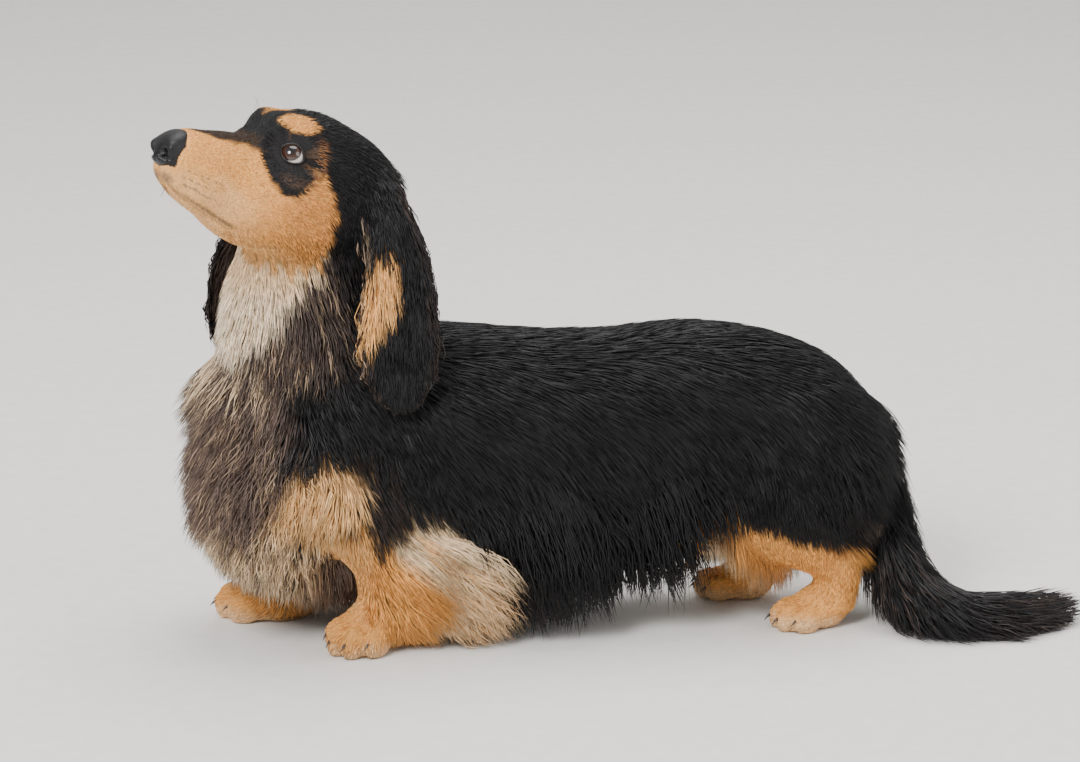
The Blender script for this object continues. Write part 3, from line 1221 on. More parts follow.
def trunk_markings(paint):
    points = paint.points
    x, y, z = points.T
    loose = ripple(points, 0.020, 1) * 0.006
    fine = ripple(points, 0.006, 2)
    strands = ripple(points * (1, 1, 0.25), 0.004, 8)
    mirrored = np.column_stack((x, np.abs(y), z))
    body = ~np.char.startswith(paint.names, "ear_") & ~np.isin(paint.names, ("foreleg", "feather", "paw"))
    # Ruff
    front = above(-0.196, x + loose, 0.010)
    ruff = front * above(z, 0.060, 0.012) * above(0.272, z, 0.012)
    paint.lay(ruff * body, GREY_BROWN, (0.17, 0.115, 0.092))
    paint.lay(ruff * body * smooth_step(0.3, 1.0, strands) * 0.75, GREY_FAWN, BLOND)
    paint.lay(ruff * body * smooth_step(-0.2, -0.9, strands) * 0.7, BROWN_BLACK, BROWN_BLACK)
    # Side of the neck behind the throat
    neck = above(-0.160, x + loose, 0.014) * above(z, 0.236, 0.010) * above(0.312, z, 0.014)
    paint.lay(neck * body * 0.85, BROWN_BLACK, GREY_BROWN)
    paint.lay(neck * body * smooth_step(0.35, 1.0, strands) * 0.8, GREY_FAWN, BLOND)
    # Throat
    edge = np.interp(z, *zip(*THROAT_LINE))
    throat = above(edge, x + loose * 0.7, 0.007) * above(z, 0.238 + fine * 0.006, 0.006)
    throat *= above(0.34, z, 0.01)
    paint.lay(throat * body, CREAM, WHITE)
    warm = throat * above(z, 0.290, 0.012)
    paint.lay(warm * body * 0.8, PEACH, CREAM)
    wisps = blob(mirrored, (-0.245, 0.030, 0.226), (0.045, 0.055, 0.018), 0.4)
    wisps *= smooth_step(-0.2, 0.5, strands)
    paint.lay(wisps * body * 0.85, BLOND, CREAM)
    # The pale hair under the chest
    low = above(0.120, z + loose, 0.012) * above(-0.165, x + loose, 0.016)
    paint.lay(low * body * smooth_step(-0.7, 0.2, strands) * 0.9, PEACH, CREAM)
    between = above(-0.100, x, 0.014) * above(0.080, z + loose, 0.008) * above(x + loose, -0.190, 0.010)
    paint.lay(between * body * 0.7, GREY_BROWN, GREY_FAWN)
    # Brown ends to the black hair of the belly
    fringe = (paint.names == "fringe") | ((z < 0.10) & (x > -0.10) & (x < 0.14))
    dark = (paint.root[:, 0] < 0.03) & fringe
    paint.lay(dark * smooth_step(0.1, 0.9, strands) * 0.55, BLACK, BROWN_BLACK)


def limb_markings(paint):
    points = paint.points
    x, y, z = points.T
    loose = ripple(points, 0.020, 4) * 0.006
    fine = ripple(points, 0.006, 5)
    strands = ripple(points * (1, 1, 0.25), 0.004, 9)
    aside = np.abs(y)
    ahead = np.where(y > 0, FORE_STEP, 0) * np.clip((0.15 - z) / 0.105, 0, 1)
    # Forelegs: a black wedge comes down from the elbow, behind the tan front
    fore = np.isin(paint.names, ("foreleg", "feather", "paw")) & (x < 0)
    low = above(0.100, z + loose, 0.008)
    paint.lay(low * fore, TAN, TAN)
    wedge = np.interp(x + ahead, *zip(*ELBOW_LINE))
    paint.lay(fore * above(z + loose * 0.5, wedge, 0.004) * above(aside, 0.045, 0.006), BLACK, BROWN_BLACK)
    front = fore * above(-0.141, x + ahead, 0.005) * above(0.112, z, 0.005) * (paint.names == "foreleg")
    paint.lay(front, TAN, PEACH)
    loosely = np.column_stack((x + loose, aside, z))
    chest = blob(loosely, (-0.177, 0.090, 0.140), (0.034, 0.045, 0.026), 0.20)
    ears = np.char.startswith(paint.names, "ear_")
    paint.lay(chest * ~ears, PEACH, PEACH)
    paint.lay(chest * ~ears * smooth_step(0.2, 0.8, strands) * 0.6, PEACH, CREAM)
    unstepped = np.column_stack((x + ahead, aside, z))
    upper = blob(unstepped, (-0.096, 0.080, 0.090), (0.026, 0.035, 0.022), 0.25)
    paint.lay(upper * ~ears, BLOND, CREAM)
    feather = (paint.names == "feather") | (fore & (x + ahead > -0.112) & (z > 0.020) & (z < wedge))
    paint.lay(feather * 0.9, TAN, BLOND)
    paint.lay(feather * smooth_step(-0.3, 0.6, strands) * 0.9, PEACH, CREAM)
    # Hind legs, thighs and what shows between them
    tail = paint.names == "tail"
    body = ~np.char.startswith(paint.names, "ear_") & ~tail
    line = np.interp(x, *zip(*THIGH_LINE))
    paint.lay((x > 0.10) * above(line, z - loose * 0.6, 0.006) * body, TAN, TAN)
    inner = (x > 0.10) * above(np.where(y > 0, 0.075, 0.036), aside, 0.006) * above(0.112, z, 0.010)
    paint.lay(inner * above(z, 0.050, 0.010) * body, BLOND, CREAM)
    rear = (paint.names == "breeches") & (z > 0.055)
    paint.lay(rear * 0.9, BLACK, BROWN_BLACK)
    paint.lay(rear * above(x, 0.236, 0.008) * smooth_step(0.0, 0.7, strands) * 0.7, BROWN_BLACK, BLOND)
    paws = (paint.names == "paw") * above(0.012, z + loose * 0.3, 0.005)
    paint.lay(paws * 0.5, CREAM, CREAM)
    # Tail
    fade = smooth_step(0.27, 0.36, x) * smooth_step(-0.3, 0.7, strands)
    paint.lay(tail * fade * 0.75, BROWN_BLACK, GREY_BROWN)
    root = blob(points, (0.266, -0.015, 0.045), (0.022, 0.05, 0.034), 0.4) * smooth_step(0.1, 0.7, fine)
    paint.lay(tail * root * 0.35, GREY_BROWN, GREY_FAWN)


def head_markings(paint):
    back, side, up = head_shares(paint.points)
    aside = np.abs(side)
    shares = np.column_stack((back, aside, up))
    rough = ripple(paint.points, 0.010, 3) * 0.010
    fine = ripple(paint.points, 0.003, 6)
    head = (back < 0.80) & (paint.points[:, 2] > 0.272) & (paint.names == "head")
    rear = np.interp(up, *zip(*CHEEK_LINE))
    patch = above(back + rough * 0.6, np.interp(up, *zip(*PATCH_FRONT)), 0.009)
    patch *= above(up + rough * 0.8, np.interp(back, *zip(*PATCH_FLOOR)), 0.012)
    top = above(0.150, up + rough, 0.012)
    tan = above(rear, back + rough, 0.012) * np.where(back > 0.345, top, 1)
    paint.lay(tan * head, TAN, TAN)
    lower = above(-0.030, up + rough * 2, 0.045) * above(0.37, back, 0.10)
    paint.lay(lower * tan * head * 0.55, PEACH, CREAM)
    deeper = blob(shares, (0.58, 0.20, -0.02), (0.14, 0.12, 0.12), 0.6)
    paint.lay(deeper * tan * head * 0.45, DEEP_TAN, DEEP_TAN)
    jaw = above(-0.160, up + rough, 0.025) * above(back, 0.40, 0.08)
    paint.lay(jaw * tan * head * 0.6, PEACH, PEACH)
    paint.lay(patch * head, BLACK, BLACK)
    stripe = np.interp(back, *zip(*BRIDGE))
    bridge = above(stripe, aside + rough * 0.5, 0.008) * above(up, 0.05, 0.01) * above(back, 0.120, 0.008)
    paint.lay(bridge * head * 0.96, BLACK, BLACK)
    under = blob(shares, (0.462, 0.185, 0.058), (0.050, 0.06, 0.022), 0.6) * smooth_step(-0.8, 0.6, fine)
    paint.lay(under * head * 0.5, UMBER, GREY_FAWN)
    behind = blob(shares, (0.514, 0.175, 0.140), (0.018, 0.060, 0.075), 0.5)
    paint.lay(behind * head * 0.85, UMBER, DEEP_TAN)
    for place, radii in BROW_SPOTS:
        inward = np.column_stack((back * 0, np.where(side > 0, FAR_BROW_INWARD, 0), up * 0))
        brow = blob(shares + inward + rough[:, None] * 0.35, place, radii, 0.18)
        paint.lay(brow * head, TAN, TAN)
    ring = above(EYE_RADIUS * 1.85, from_eyes(paint.points), 0.0014)
    paint.lay(ring * head, BLACK, BLACK)
    below = blob(shares, (0.060, 0.030, -0.075), (0.034, 0.036, 0.020), 0.5)
    paint.lay(below * head * 0.7, GREY_BROWN, GREY_BROWN)
    away, share = away_from_path(shares[:, [0, 2]], np.array(MOUTH)[:, [0, 2]])
    lips = np.exp(-((away / 0.0048) ** 2)) * (aside > 0.02) * (0.35 + 0.5 * share**2)
    paint.lay(lips * head * (share < 0.999), BLACK, BROWN_BLACK)
    for start, end in WHISKER_ROWS:
        for spot in np.linspace(start, end, 6):
            length = np.abs(back - spot[0]) / 0.0060
            height = np.abs(up - spot[1]) / 0.0036
            dot = smooth_step(1.3, 0.6, np.hypot(length, height)) * (aside > 0.05)
            paint.lay(dot * head * 0.75, GREY_BROWN, GREY_BROWN)


def ear_markings(paint):
    """A tan patch down the outer face near the front edge, which is seen on the left ear."""
    for name, side, rows in EARS:
        mine = paint.names == name
        z = paint.points[:, 2]
        strands = ripple(paint.points * (1, 1, 0.25), 0.005, 7)
        share = ear_share(paint.points, rows) + strands * 0.10
        facing = above(paint.normals[:, 1] * side, -0.1, 0.2)
        paint.lay(mine * (1 - facing), BROWN_BLACK, BROWN_BLACK)
        edge = np.interp(z, *zip(*EAR_PATCH))
        patch = above(edge, share, 0.13) * above(z + strands * 0.006, 0.246, 0.006)
        patch *= 1 if side < 0 else above(share, -0.60, 0.10)
        patch *= above(0.320 + share * 0.006, z + strands * 0.006, 0.005) * facing
        paint.lay(patch * mine, TAN, PEACH)
        front = above(-0.72, share, 0.12) * above(z, 0.225, 0.01) * above(0.350, z, 0.01)
        paler = (GREY_FAWN, BLOND) if side < 0 else (BLACK, BROWN_BLACK)
        paint.lay(front * mine * smooth_step(0.0, 0.6, strands) * 0.75, *paler)
        rear = above(share, 0.75, 0.15)
        paint.lay(rear * mine * 0.7, BLACK, BROWN_BLACK)


Roots = namedtuple("Roots", "spot out lie length kind face map names")


def scatter(skin, draws):
    """Roots spread over the skin as densely as its kinds of hair grow."""
    corners = skin.points[skin.faces]
    edges = corners[:, 1:] - corners[:, :1]
    area = 0.5 * np.linalg.norm(np.cross(edges[:, 0], edges[:, 1]), axis=1)
    dense = skin.kind[skin.faces, Kind._fields.index("dense")].mean(axis=1) * 1e4
    from_mouth = away_from_path(skin.centres, skin.mouth)[0]
    grows = ~bare(skin.centres) & (from_mouth > MOUTH_BARE)
    weight = np.cumsum(area * dense * grows)
    count = int(weight[-1] * 1 * FULLNESS)
    face = np.searchsorted(weight, (np.arange(count) + draws.random(count)) / count * weight[-1])
    first, second = draws.random((2, count))
    folded = first + second > 1
    first[folded], second[folded] = 1 - first[folded], 1 - second[folded]
    shares = np.column_stack((1 - first - second, first, second))
    vertices = skin.faces[face]

    def mixed(values):
        return np.einsum("nk,nk...->n...", shares, values[vertices])

    return Roots(
        mixed(skin.points),
        normalised(mixed(skin.normals)),
        normalised(mixed(skin.lie)),
        mixed(skin.length),
        mixed(skin.kind),
        face,
        np.einsum("nk,nkc->nc", shares, skin.map[face]),
        skin.names[vertices[:, 0]],
    )


def bare(points):
    """Where no hair grows: between the lids, and under the nose leather."""
    none = np.zeros(len(points), bool)
    for side in (-1, 1):
        local = in_eye_frame(points, side)
        away = np.linalg.norm(local, axis=1)
        on_ball = local / away[:, None] * EYE_RADIUS * 0.94
        none |= in_opening(on_ball) & (away < EYE_RADIUS * 1.5)
    back, side, up = head_shares(points)
    return none | ((back < 0.088) & (np.abs(side) < 0.064) & (up > -0.034) & (up < 0.094))


def pick(roots, mine):
    return Roots(*(values[mine] for values in roots))


def homes(roots):
    """The piece of coat that each tuft belongs to."""
    turn = np.array(head_matrix().inverted())
    back = (roots.spot @ turn[0, :3] + turn[0, 3]) / HEAD
    x, _, z = roots.spot.T
    torso = np.where(x < -0.02, "coat_back", np.where(x < 0.11, "coat_loin", "coat_rump"))
    torso = np.where((x < -0.09), "coat_shoulders", torso)
    torso = np.where((z < 0.105) & (x > -0.10) & (x < 0.16), "coat_belly", torso)
    limb = {"foreleg": "coat_forelegs", "hindleg": "coat_hindlegs", "paw": "coat_paws", "tail": "coat_tail",
            "neck": "coat_neck", "ruff": "coat_chest", "fringe": "coat_belly", "feather": "coat_feathers",
            "breeches": "coat_breeches", "ear_left": "coat_ear_left", "ear_right": "coat_ear_right"}
    home = torso
    for name, piece in limb.items():
        home = np.where(roots.names == name, piece, home)
    home = np.where(roots.names == "head", np.where(back < 0.36, "coat_muzzle", "coat_head"), home)
    return np.where((home == "coat_shoulders") & (x < -0.19), "coat_chest", home)


def turned(vectors, axes, angles):
    """Vectors turned about axes at right angles to them."""
    return vectors * np.cos(angles)[:, None] + np.cross(axes, vectors) * np.sin(angles)[:, None]


def grow(skin, roots, rings, draws):
    """Walks each tuft from its root over the skin, and returns its points and the way out at each."""
    _, _, lift, rise, cling, fall, clump, wave, _ = roots.kind.T
    count = len(roots.spot)
    length = roots.length * draws.uniform(0.72, 1.15, count)
    rise = rise * draws.uniform(0.35, 1.25, count)
    way = turned(roots.lie, roots.out, draws.normal(0, 0.12, count))
    way = normalised(way + roots.out * (lift * draws.uniform(0.4, 1.6, count))[:, None])
    spot = roots.spot - roots.out * SUNK
    out = roots.out
    paths = [spot]
    outs = [out]
    for k in range(1, rings + 1):
        t = k / rings
        before = spot
        spot = spot + way * (length / rings)[:, None]
        place, out, face = skin.nearest(spot)
        height = ((spot - place) * out).sum(axis=1)
        wanted = rise * t**0.8
        held = height + (wanted - height) * cling
        held = np.maximum(held, wanted * 0.5)
        spot = spot + out * (held - height)[:, None]
        flow = normalised(skin.lie[skin.faces[face, 0]])
        ahead = normalised(spot - before)
        way = normalised(ahead + flow * (cling * 0.5)[:, None] + DOWN * (fall * 2.2 * t)[:, None])
        paths.append(spot)
        outs.append(out)
    paths = np.stack(paths, axis=1)
    outs = np.stack(outs, axis=1)
    t = np.linspace(0, 1, rings + 1)
    gather(paths, clump, t, draws)
    across = normalised(np.cross(paths[:, -1] - paths[:, 0], outs[:, 0]))
    swing = np.sin(t * 7.0 + draws.uniform(0, 6.28, count)[:, None]) * t * (wave * length)[:, None]
    paths += across[:, None, :] * swing[:, :, None]
    floor = FLOOR_CLEAR + draws.uniform(0.0, 0.004, count)[:, None] * t
    paths[:, :, 2] = np.maximum(paths[:, :, 2], floor)
    paths[:, :, 1] = np.clip(paths[:, :, 1], *SIDE_LIMIT)
    return paths, outs


def gather(paths, clump, t, draws):
    """Draws the tufts towards a leader near each, more so towards the tips."""
    count = len(paths)
    for share, strength in ((14, 0.55), (60, 0.35)):
        leaders = draws.choice(count, max(1, count // share), replace=False)
        tree = KDTree(len(leaders))
        for k, leader in enumerate(leaders):
            tree.insert(paths[leader, 0], k)
        tree.balance()
        owner = np.array([leaders[tree.find(root)[1]] for root in paths[:, 0]])
        pull = clump[:, None] * strength * t**1.4
        paths += (paths[owner] - paths) * pull[:, :, None]


def tuft_mesh(name, paths, outs, wide, colours, maps, deep):
    """Closed tapering tufts of three sides along paths, in one mesh. deep is the shade at their roots."""
    count, places = paths.shape[:2]
    rings = places - 1
    t = np.linspace(0, 1, places)[:-1]
    ahead = normalised(np.diff(paths, axis=1))
    across = normalised(np.cross(ahead, outs[:, :-1]))
    upward = np.cross(across, ahead)
    half = wide[:, None] / 2 * (0.75 + 0.4 * np.sin(math.pi * t)) * (1 - 0.35 * t**2)
    centre = paths[:, :-1]
    lean = across * half[:, :, None]
    crest = upward * (half * TUFT_THICK)[:, :, None]
    body = np.stack((centre - lean - crest * 0.5, centre + lean - crest * 0.5, centre + crest), axis=2)
    verts = np.concatenate((body.reshape(count, rings * 3, 3), paths[:, -1:]), axis=1)
    faces = [(0, 1, 2)]
    for k in range(rings):
        for i, j in ((0, 1), (1, 2), (2, 0)):
            i, j = i + 3 * k, j + 3 * k
            if k == rings - 1:
                faces.append((i, rings * 3, j))
            else:
                faces += [(i, i + 3, j + 3), (i, j + 3, j)]
    size = rings * 3 + 1
    faces = (np.array(faces)[None] + (np.arange(count) * size)[:, None, None]).reshape(-1)
    share = np.append(np.repeat(t, 3), 1.0)
    aside = np.append(np.tile((-0.5, 0.5, 0.0), rings), 0.0)
    root, tip = colours
    blend = share[None, :, None] ** 1.3
    shade = root[:, None] * (1 - blend) + tip[:, None] * blend
    deep = deep[:, None, None]
    shade = shade * (deep + (1 - deep) * share[None, :, None] ** 0.6)
    spread = np.stack((aside, share - 0.5), axis=1) * PATCH
    mesh = bpy.data.meshes.new(name)
    fill_mesh(mesh, verts.reshape(-1, 3), faces)
    tint(mesh, shade.reshape(-1, 3))
    uv = (maps[:, None] + spread[None]).reshape(-1, 2)
    mesh.uv_layers.new(name="OFBake").data.foreach_set("uv", uv[faces].ravel())
    mesh.shade_smooth()
    return mesh


def tint(mesh, shades):
    """Colours a mesh point by point."""
    layer = mesh.color_attributes.new("Coat", "FLOAT_COLOR", "POINT")
    layer.data.foreach_set("color", np.column_stack((shades, np.ones(len(shades)))).ravel())


def fill_mesh(mesh, verts, corners):
    """Fills a mesh with triangles, three corners each."""
    mesh.vertices.add(len(verts))
    mesh.vertices.foreach_set("co", verts.ravel())
    mesh.loops.add(len(corners))
    mesh.loops.foreach_set("vertex_index", corners)
    mesh.polygons.add(len(corners) // 3)
    mesh.polygons.foreach_set("loop_start", np.arange(0, len(corners), 3))
    mesh.update(calc_edges=True)
    mesh.validate()


def add_coat(skin, material):
    draws = np.random.default_rng(SEED)
    roots = scatter(skin, draws)
    home = homes(roots)
    for name, region in REGIONS.items():
        mine = pick(roots, home == name)
        paths, outs = grow(skin, mine, region.rings, draws)
        root, tip = markings(mine.spot, mine.out, mine.names)
        count = len(mine.spot)
        shade = 1 + draws.normal(0, 1, count) * np.interp(mine.length, *UNEVEN)
        shade = shade[:, None] * draws.normal(1, 0.02, (count, 3))
        shade = np.clip(shade, 0.5, 1.6)
        wide = mine.kind[:, 0] * draws.uniform(0.75, 1.25, count)
        deep = np.interp(mine.length, *ROOT_SHADE)
        deep += (1 - deep) * 0.6 * np.clip(root.mean(axis=1), 0, 1)
        mesh = tuft_mesh(name, paths, outs, wide, (root * shade, tip * shade), mine.map, deep)
        new_piece(name, mesh, material, region.slot)


def add_whiskers(skin, material):
    """Thin dark bristles on the lips, over the eyes and on the cheeks."""
    draws = np.random.default_rng(SEED + 1)
    turn = head_matrix().to_3x3()
    starts = []
    ways = []
    lengths = []
    for side in (-1, 1):
        for place, way, length, count in WHISKERS:
            for _ in range(count):
                spread = draws.normal(0, 1, 3) * (0.030, 0.004, 0.016)
                starts.append(on_head(*(np.array(place) + spread * min(1, count / 6)), side))
                bent = Vector((way[0], side * way[1], way[2])) + Vector(draws.normal(0, 0.12, 3))
                ways.append((turn @ bent).normalized())
                lengths.append(length * draws.uniform(0.6, 1.1))
    places, outs, faces = skin.nearest(np.array(starts))
    t = np.linspace(0, 1, 7)[None, :, None]
    reach = np.array(lengths)[:, None, None]
    paths = places[:, None] + np.array(ways)[:, None] * reach * t + DOWN * reach * 0.22 * t**2
    paths -= outs[:, None] * SUNK
    outs = np.repeat(outs[:, None], 7, axis=1)
    count = len(lengths)
    colours = (np.tile(BROWN_BLACK, (count, 1)), np.tile(BLACK, (count, 1)))
    maps = skin.map[faces].mean(axis=1)
    mesh = tuft_mesh("whiskers", paths, outs, np.full(count, WHISKER_WIDE), colours, maps, np.ones(count))
    new_piece("whiskers", mesh, material, "black_coat")


def new_object(name, data):
    obj = bpy.data.objects.new(name, data)
    bpy.context.scene.collection.objects.link(obj)
    return obj


def new_piece(name, mesh, material, slot, *replaced):
    """A piece of the dog with its material, its slot in the record and the nodes that it stands for."""
    piece = new_object(name, mesh)
    piece.data.materials.clear()
    piece.data.materials.append(material)
    PIECES.append(piece)
    if replaced:
        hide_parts(*replaced)
    return piece


def smooth_mesh(name, build):
    """A smooth-shaded mesh from a function that fills a bmesh."""
    bm = bmesh.new()
    build(bm)
    bmesh.ops.recalc_face_normals(bm, faces=bm.faces)
    mesh = bpy.data.meshes.new(name)
    bm.to_mesh(mesh)
    bm.free()
    mesh.shade_smooth()
    return mesh


def add_skin(skin, material):
    root = markings(skin.points, skin.normals, skin.names)[0]
    shade = root * np.interp(skin.length, *SKIN_SHADE)[:, None]
    away, share = away_from_path(skin.points, skin.mouth)
    lips = np.exp(-((away / (MOUTH_WIDTH * 0.9)) ** 2)) * (0.55 + 0.45 * np.abs(share * 2 - 1))
    shade += (np.array(LID_BLACK) - shade) * lips[:, None]
    shade[bare(skin.points)] = LID_BLACK
    for side in (-1, 1):
        eye = np.array(eye_frame(side)[0])
        rim = smooth_step(EYE_RADIUS * 1.5, EYE_RADIUS * 1.25, np.linalg.norm(skin.points - eye, axis=1))
        shade += (np.array(LID_BLACK) - shade) * rim[:, None]
    tint(skin.mesh, shade)
    skin.mesh.shade_smooth()
    skin.mesh.name = "skin"
    new_piece("skin", skin.mesh, material, "black_coat", *FLESH_NODES)


def add_eyes(material, rim_material):
    for side, word in ((-1, "left"), (1, "right")):
        centre, along, up, look = eye_frame(side)
        gaze = (look + up * GAZE_UP + along * (-GAZE_AHEAD * side)).normalized()
        mesh = smooth_mesh("eyeball_" + word, fill_eye)
        eye = new_piece("eyeball_" + word, mesh, material, "eye", "eye_" + word)
        eye.matrix_world = Matrix.Translation(centre) @ gaze.to_track_quat("Z", "Y").to_matrix().to_4x4()
        rim = smooth_mesh("lids_" + word, lambda bm: loft_ring(bm, lid_rings(centre, along, up, look)))
        new_piece("lids_" + word, rim, rim_material, "nose_leather")


def fill_eye(bm):
    """An eyeball with the swell of its cornea along Z."""
    ball(bm, Vector((0, 0, 0)), (EYE_RADIUS,) * 3, segments=64)
    for vert in bm.verts:
        swell = math.exp(-((math.hypot(vert.co.x, vert.co.y) / CORNEA) ** 4))
        if vert.co.z > 0:
            vert.co.z += swell * CORNEA_RISE


def lid_rings(centre, along, up, look, count=56, sides=8):
    """Sections round the opening of an eye, thicker above than below."""
    path = []
    sizes = []
    for k in range(count):
        turn = 2 * math.pi * k / count
        across = math.cos(turn)
        rise = math.sin(turn) * (1 - SLIT_ROUND * across**2)
        x = SLIT[0] * across
        y = SLIT[1] * rise
        out = math.sqrt(max((EYE_RADIUS + RIM_OUT) ** 2 - x * x - y * y, 0))
        path.append(centre + along * x + up * y + look * out)
        sizes.append(RIM * (1.15 if rise > 0 else 0.85))
    rings = []
    for k, place in enumerate(path):
        ahead = (path[(k + 1) % count] - path[k - 1]).normalized()
        out = (place - centre).normalized()
        out = (out - ahead * out.dot(ahead)).normalized()
        across = ahead.cross(out)
        rings.append(section(place, across, out, sizes[k], sizes[k], sizes[k], 1.0, sides))
    return rings


def loft_ring(bm, rings):
    """A closed band through rings whose last joins the first."""
    loops = [[bm.verts.new(p) for p in ring] for ring in rings]
    count = len(loops[0])
    for n, lower in enumerate(loops):
        upper = loops[(n + 1) % len(loops)]
        for k in range(count):
            following = (k + 1) % count
            bm.faces.new((lower[k], lower[following], upper[following], upper[k]))


def add_nose(material):
    mesh = smooth_mesh("nose_leather", lambda bm: loft(bm, head_rings(NOSE_SLICES, 0.0, 8, 72, 0.9)))
    points = points_of(mesh)
    push_both_sides(points, NOSE_TOUCHES)
    mesh.vertices.foreach_set("co", points.ravel())
    mesh.update()
    new_piece("nose_leather", mesh, material, "nose_leather", "nose")


def add_claws(material):
    """A curved claw at the front of each toe."""
    def build(bm):
        for paw in PAWS:
            place = paw_matrix(paw)
            for across, ahead, size in TOES:
                start = Vector((-(ahead + 0.36) * paw.long, across * paw.wide * 1.04, paw.high * 0.40))
                rings = []
                for k in range(7):
                    t = k / 6
                    along = Vector((-CLAW_LENGTH * size * t, 0, -CLAW_DROP * t**1.7))
                    radius = CLAW_RADIUS * size * (1 - 0.75 * t**1.5)
                    sizes = (radius * 0.8, radius, radius, 1.0, 10)
                    ring = section(start + along, Vector((0, 1, 0)), Vector((0, 0, 1)), *sizes)
                    rings.append([place @ p for p in ring])
                loft(bm, rings)

    new_piece("claws", smooth_mesh("claws", build), material, "nose_leather")


def new_material(name, colour, roughness):
    material = bpy.data.materials.new(name)
    material.use_nodes = True
    shader = material.node_tree.nodes["Principled BSDF"]
    shader.inputs["Base Color"].default_value = (*colour, 1)
    shader.inputs["Roughness"].default_value = roughness
    return material, material.node_tree.nodes, material.node_tree.links, shader


def noise(nodes, links, scale, detail, vector=None):
    texture = nodes.new("ShaderNodeTexNoise")
    texture.inputs["Scale"].default_value = scale
    texture.inputs["Detail"].default_value = detail
    if vector is None:
        vector = nodes.new("ShaderNodeTexCoord").outputs["Object"]
    links.new(vector, texture.inputs["Vector"])
    return texture.outputs["Fac"]


def bump(nodes, links, shader, height, strength, distance):
    node = nodes.new("ShaderNodeBump")
    node.inputs["Strength"].default_value = strength
    node.inputs["Distance"].default_value = distance
    links.new(height, node.inputs["Height"])
    links.new(node.outputs["Normal"], shader.inputs["Normal"])


def ramp(nodes, links, value, stops):
    node = nodes.new("ShaderNodeValToRGB")
    links.new(value, node.inputs["Fac"])
    while len(node.color_ramp.elements) < len(stops):
        node.color_ramp.elements.new(0.5)
    for element, (position, colour) in zip(node.color_ramp.elements, stops):
        element.position = position
        element.color = (*colour, 1)
    return node.outputs["Color"]


def tinted(nodes, links, shader, shades, scale, detail):
    """The painted colour, made lighter and darker by noise."""
    paint = nodes.new("ShaderNodeVertexColor")
    paint.layer_name = "Coat"
    mix = nodes.new("ShaderNodeMix")
    mix.data_type = "RGBA"
    mix.blend_type = "MULTIPLY"
    mix.inputs["Factor"].default_value = 1.0
    links.new(paint.outputs["Color"], mix.inputs["A"])
    stops = [(0.3, (shades[0],) * 3), (0.7, (shades[1],) * 3)]
    grey = ramp(nodes, links, noise(nodes, links, scale, detail), stops)
    links.new(grey, mix.inputs["B"])
    links.new(mix.outputs["Result"], shader.inputs["Base Color"])


def coat_material():
    material, nodes, links, shader = new_material("coat", BLACK, 0.46)
    shader.inputs["Specular IOR Level"].default_value = 0.36
    tinted(nodes, links, shader, (0.80, 1.18), 260, 3)
    bump(nodes, links, shader, noise(nodes, links, 1600, 2), 0.15, 0.0004)
    return material


def skin_material():
    material, nodes, links, shader = new_material("skin", BLACK, 0.70)
    shader.inputs["Specular IOR Level"].default_value = 0.25
    tinted(nodes, links, shader, (0.70, 1.10), 500, 4)
    bump(nodes, links, shader, noise(nodes, links, 1400, 3), 0.5, 0.0006)
    return material


def eye_material():
    """Iris, pupil and white by the angle from the way the eye looks."""
    material, nodes, links, shader = new_material("eye", (0.10, 0.035, 0.015), 0.10)
    shader.inputs["Coat Weight"].default_value = 0.65
    shader.inputs["Coat Roughness"].default_value = 0.02
    place = nodes.new("ShaderNodeTexCoord").outputs["Object"]
    parts = nodes.new("ShaderNodeSeparateXYZ")
    links.new(place, parts.inputs["Vector"])
    flat = nodes.new("ShaderNodeCombineXYZ")
    links.new(parts.outputs["X"], flat.inputs["X"])
    links.new(parts.outputs["Y"], flat.inputs["Y"])
    reach = nodes.new("ShaderNodeVectorMath")
    reach.operation = "LENGTH"
    links.new(flat.outputs["Vector"], reach.inputs[0])
    share = nodes.new("ShaderNodeMath")
    share.operation = "DIVIDE"
    share.inputs[1].default_value = EYE_RADIUS
    links.new(reach.outputs["Value"], share.inputs[0])
    wobble = nodes.new("ShaderNodeMath")
    wobble.operation = "MULTIPLY_ADD"
    wobble.inputs[1].default_value = 0.05
    links.new(noise(nodes, links, 900, 2, place), wobble.inputs[0])
    links.new(share.outputs["Value"], wobble.inputs[2])
    colour = ramp(nodes, links, wobble.outputs["Value"], [
        (0.36, (0.002, 0.001, 0.001)), (0.42, (0.018, 0.006, 0.003)), (0.56, (0.046, 0.014, 0.006)),
        (0.68, (0.026, 0.008, 0.004)), (0.76, (0.008, 0.004, 0.004)), (0.81, (0.62, 0.55, 0.52)),
    ])
    links.new(colour, shader.inputs["Base Color"])
    return material


def leather_material(name, colour, scale, strength, roughness):
    """Moist pebbled skin."""
    material, nodes, links, shader = new_material(name, colour, roughness)
    shader.inputs["Specular IOR Level"].default_value = 0.30
    cells = nodes.new("ShaderNodeTexVoronoi")
    cells.feature = "F1"
    cells.inputs["Scale"].default_value = scale
    place = nodes.new("ShaderNodeTexCoord").outputs["Object"]
    links.new(place, cells.inputs["Vector"])
    bump(nodes, links, shader, cells.outputs["Distance"], strength, 0.0006)
    tone = ramp(nodes, links, noise(nodes, links, 300, 3, place), [
        (0.3, tuple(c * 0.7 for c in colour)), (0.7, tuple(c * 1.5 for c in colour)),
    ])
    links.new(tone, shader.inputs["Base Color"])
    return material


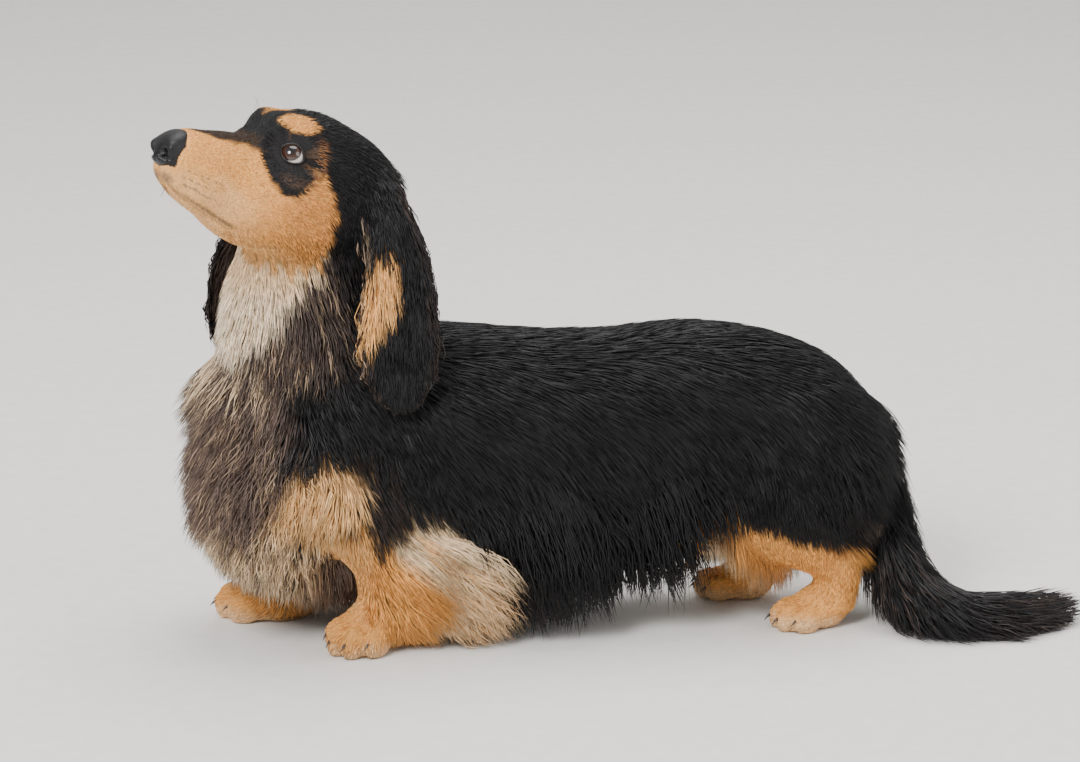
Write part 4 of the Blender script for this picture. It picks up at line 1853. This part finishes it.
def claw_material():
    material, nodes, links, shader = new_material("claw", CLAW, 0.35)
    tone = ramp(nodes, links, noise(nodes, links, 400, 2), [
        (0.35, tuple(c * 0.5 for c in CLAW)), (0.7, tuple(c * 1.9 for c in CLAW)),
    ])
    links.new(tone, shader.inputs["Base Color"])
    bump(nodes, links, shader, noise(nodes, links, 900, 2), 0.2, 0.0003)
    return material


def floor_material():
    material, nodes, links, shader = new_material("floor", FLOOR, 0.85)
    tone = ramp(nodes, links, noise(nodes, links, 60, 5), [
        (0.35, tuple(c * 0.95 for c in FLOOR)), (0.65, FLOOR),
    ])
    links.new(tone, shader.inputs["Base Color"])
    return material


def add_floor():
    mesh = bpy.data.meshes.new("floor")
    half = 6.0
    corners = [(-half, -half, 0), (half, -half, 0), (half, half, 0), (-half, half, 0)]
    mesh.from_pydata(corners, [], [(0, 1, 2, 3)])
    floor = new_object("floor", mesh)
    mesh.materials.append(floor_material())
    floor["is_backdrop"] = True


def add_camera(shift):
    rise = math.cos(CAMERA_RISE)
    back = Vector((math.sin(CAMERA_TURN) * rise, -math.cos(CAMERA_TURN) * rise, math.sin(CAMERA_RISE)))
    data = bpy.data.cameras.new("camera")
    data.sensor_width = SENSOR
    data.lens = SENSOR * PIXELS_PER_METRE * CAMERA_DISTANCE / IMAGE_WIDTH
    camera = new_object("camera", data)
    camera.location = CAMERA_TARGET + shift + back * CAMERA_DISTANCE
    camera.rotation_euler = back.to_track_quat("Z", "Y").to_euler()
    bpy.context.scene.camera = camera


def add_light(name, place, target, size, energy):
    data = bpy.data.lights.new(name, "AREA")
    data.shape = "DISK"
    data.size = size
    data.energy = energy
    light = new_object(name, data)
    light.location = place
    light.rotation_euler = (Vector(place) - Vector(target)).to_track_quat("Z", "Y").to_euler()


def add_lights():
    for name, place, size, energy in LIGHTS:
        add_light(name, place, (0, 0, 0.18), size, energy)
    world = bpy.data.worlds.new("studio")
    bpy.context.scene.world = world
    world.use_nodes = True
    sky = world.node_tree.nodes["Background"]
    sky.inputs["Color"].default_value = WORLD_COLOUR
    sky.inputs["Strength"].default_value = WORLD_STRENGTH


def place_on_frame():
    """How far the solids were moved from the stations' own axes, from the place of the left eye."""
    low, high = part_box("eye_left")
    return (low + high) / 2 - eye_frame(-1)[0]


def box_of_all():
    low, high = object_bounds()
    return [[float(value) for value in corner] for corner in (low, high)]


def main():
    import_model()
    sizes = [box_of_all()]
    shift = place_on_frame()
    coat = coat_material()
    wet = leather_material("lid_skin", LID_BLACK, 1500, 0.2, 0.38)
    skin = Skin()
    add_skin(skin, skin_material())
    add_coat(skin, coat)
    add_whiskers(skin, coat)
    add_eyes(eye_material(), wet)
    add_nose(leather_material("nose_leather", NOSE_BLACK, 1100, 0.35, 0.33))
    add_claws(claw_material())
    for piece in PIECES:
        piece.matrix_world = Matrix.Translation(shift) @ piece.matrix_world
        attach(piece, "root")
    add_floor()
    add_camera(shift)
    add_lights()
    sizes.append(box_of_all())


main()
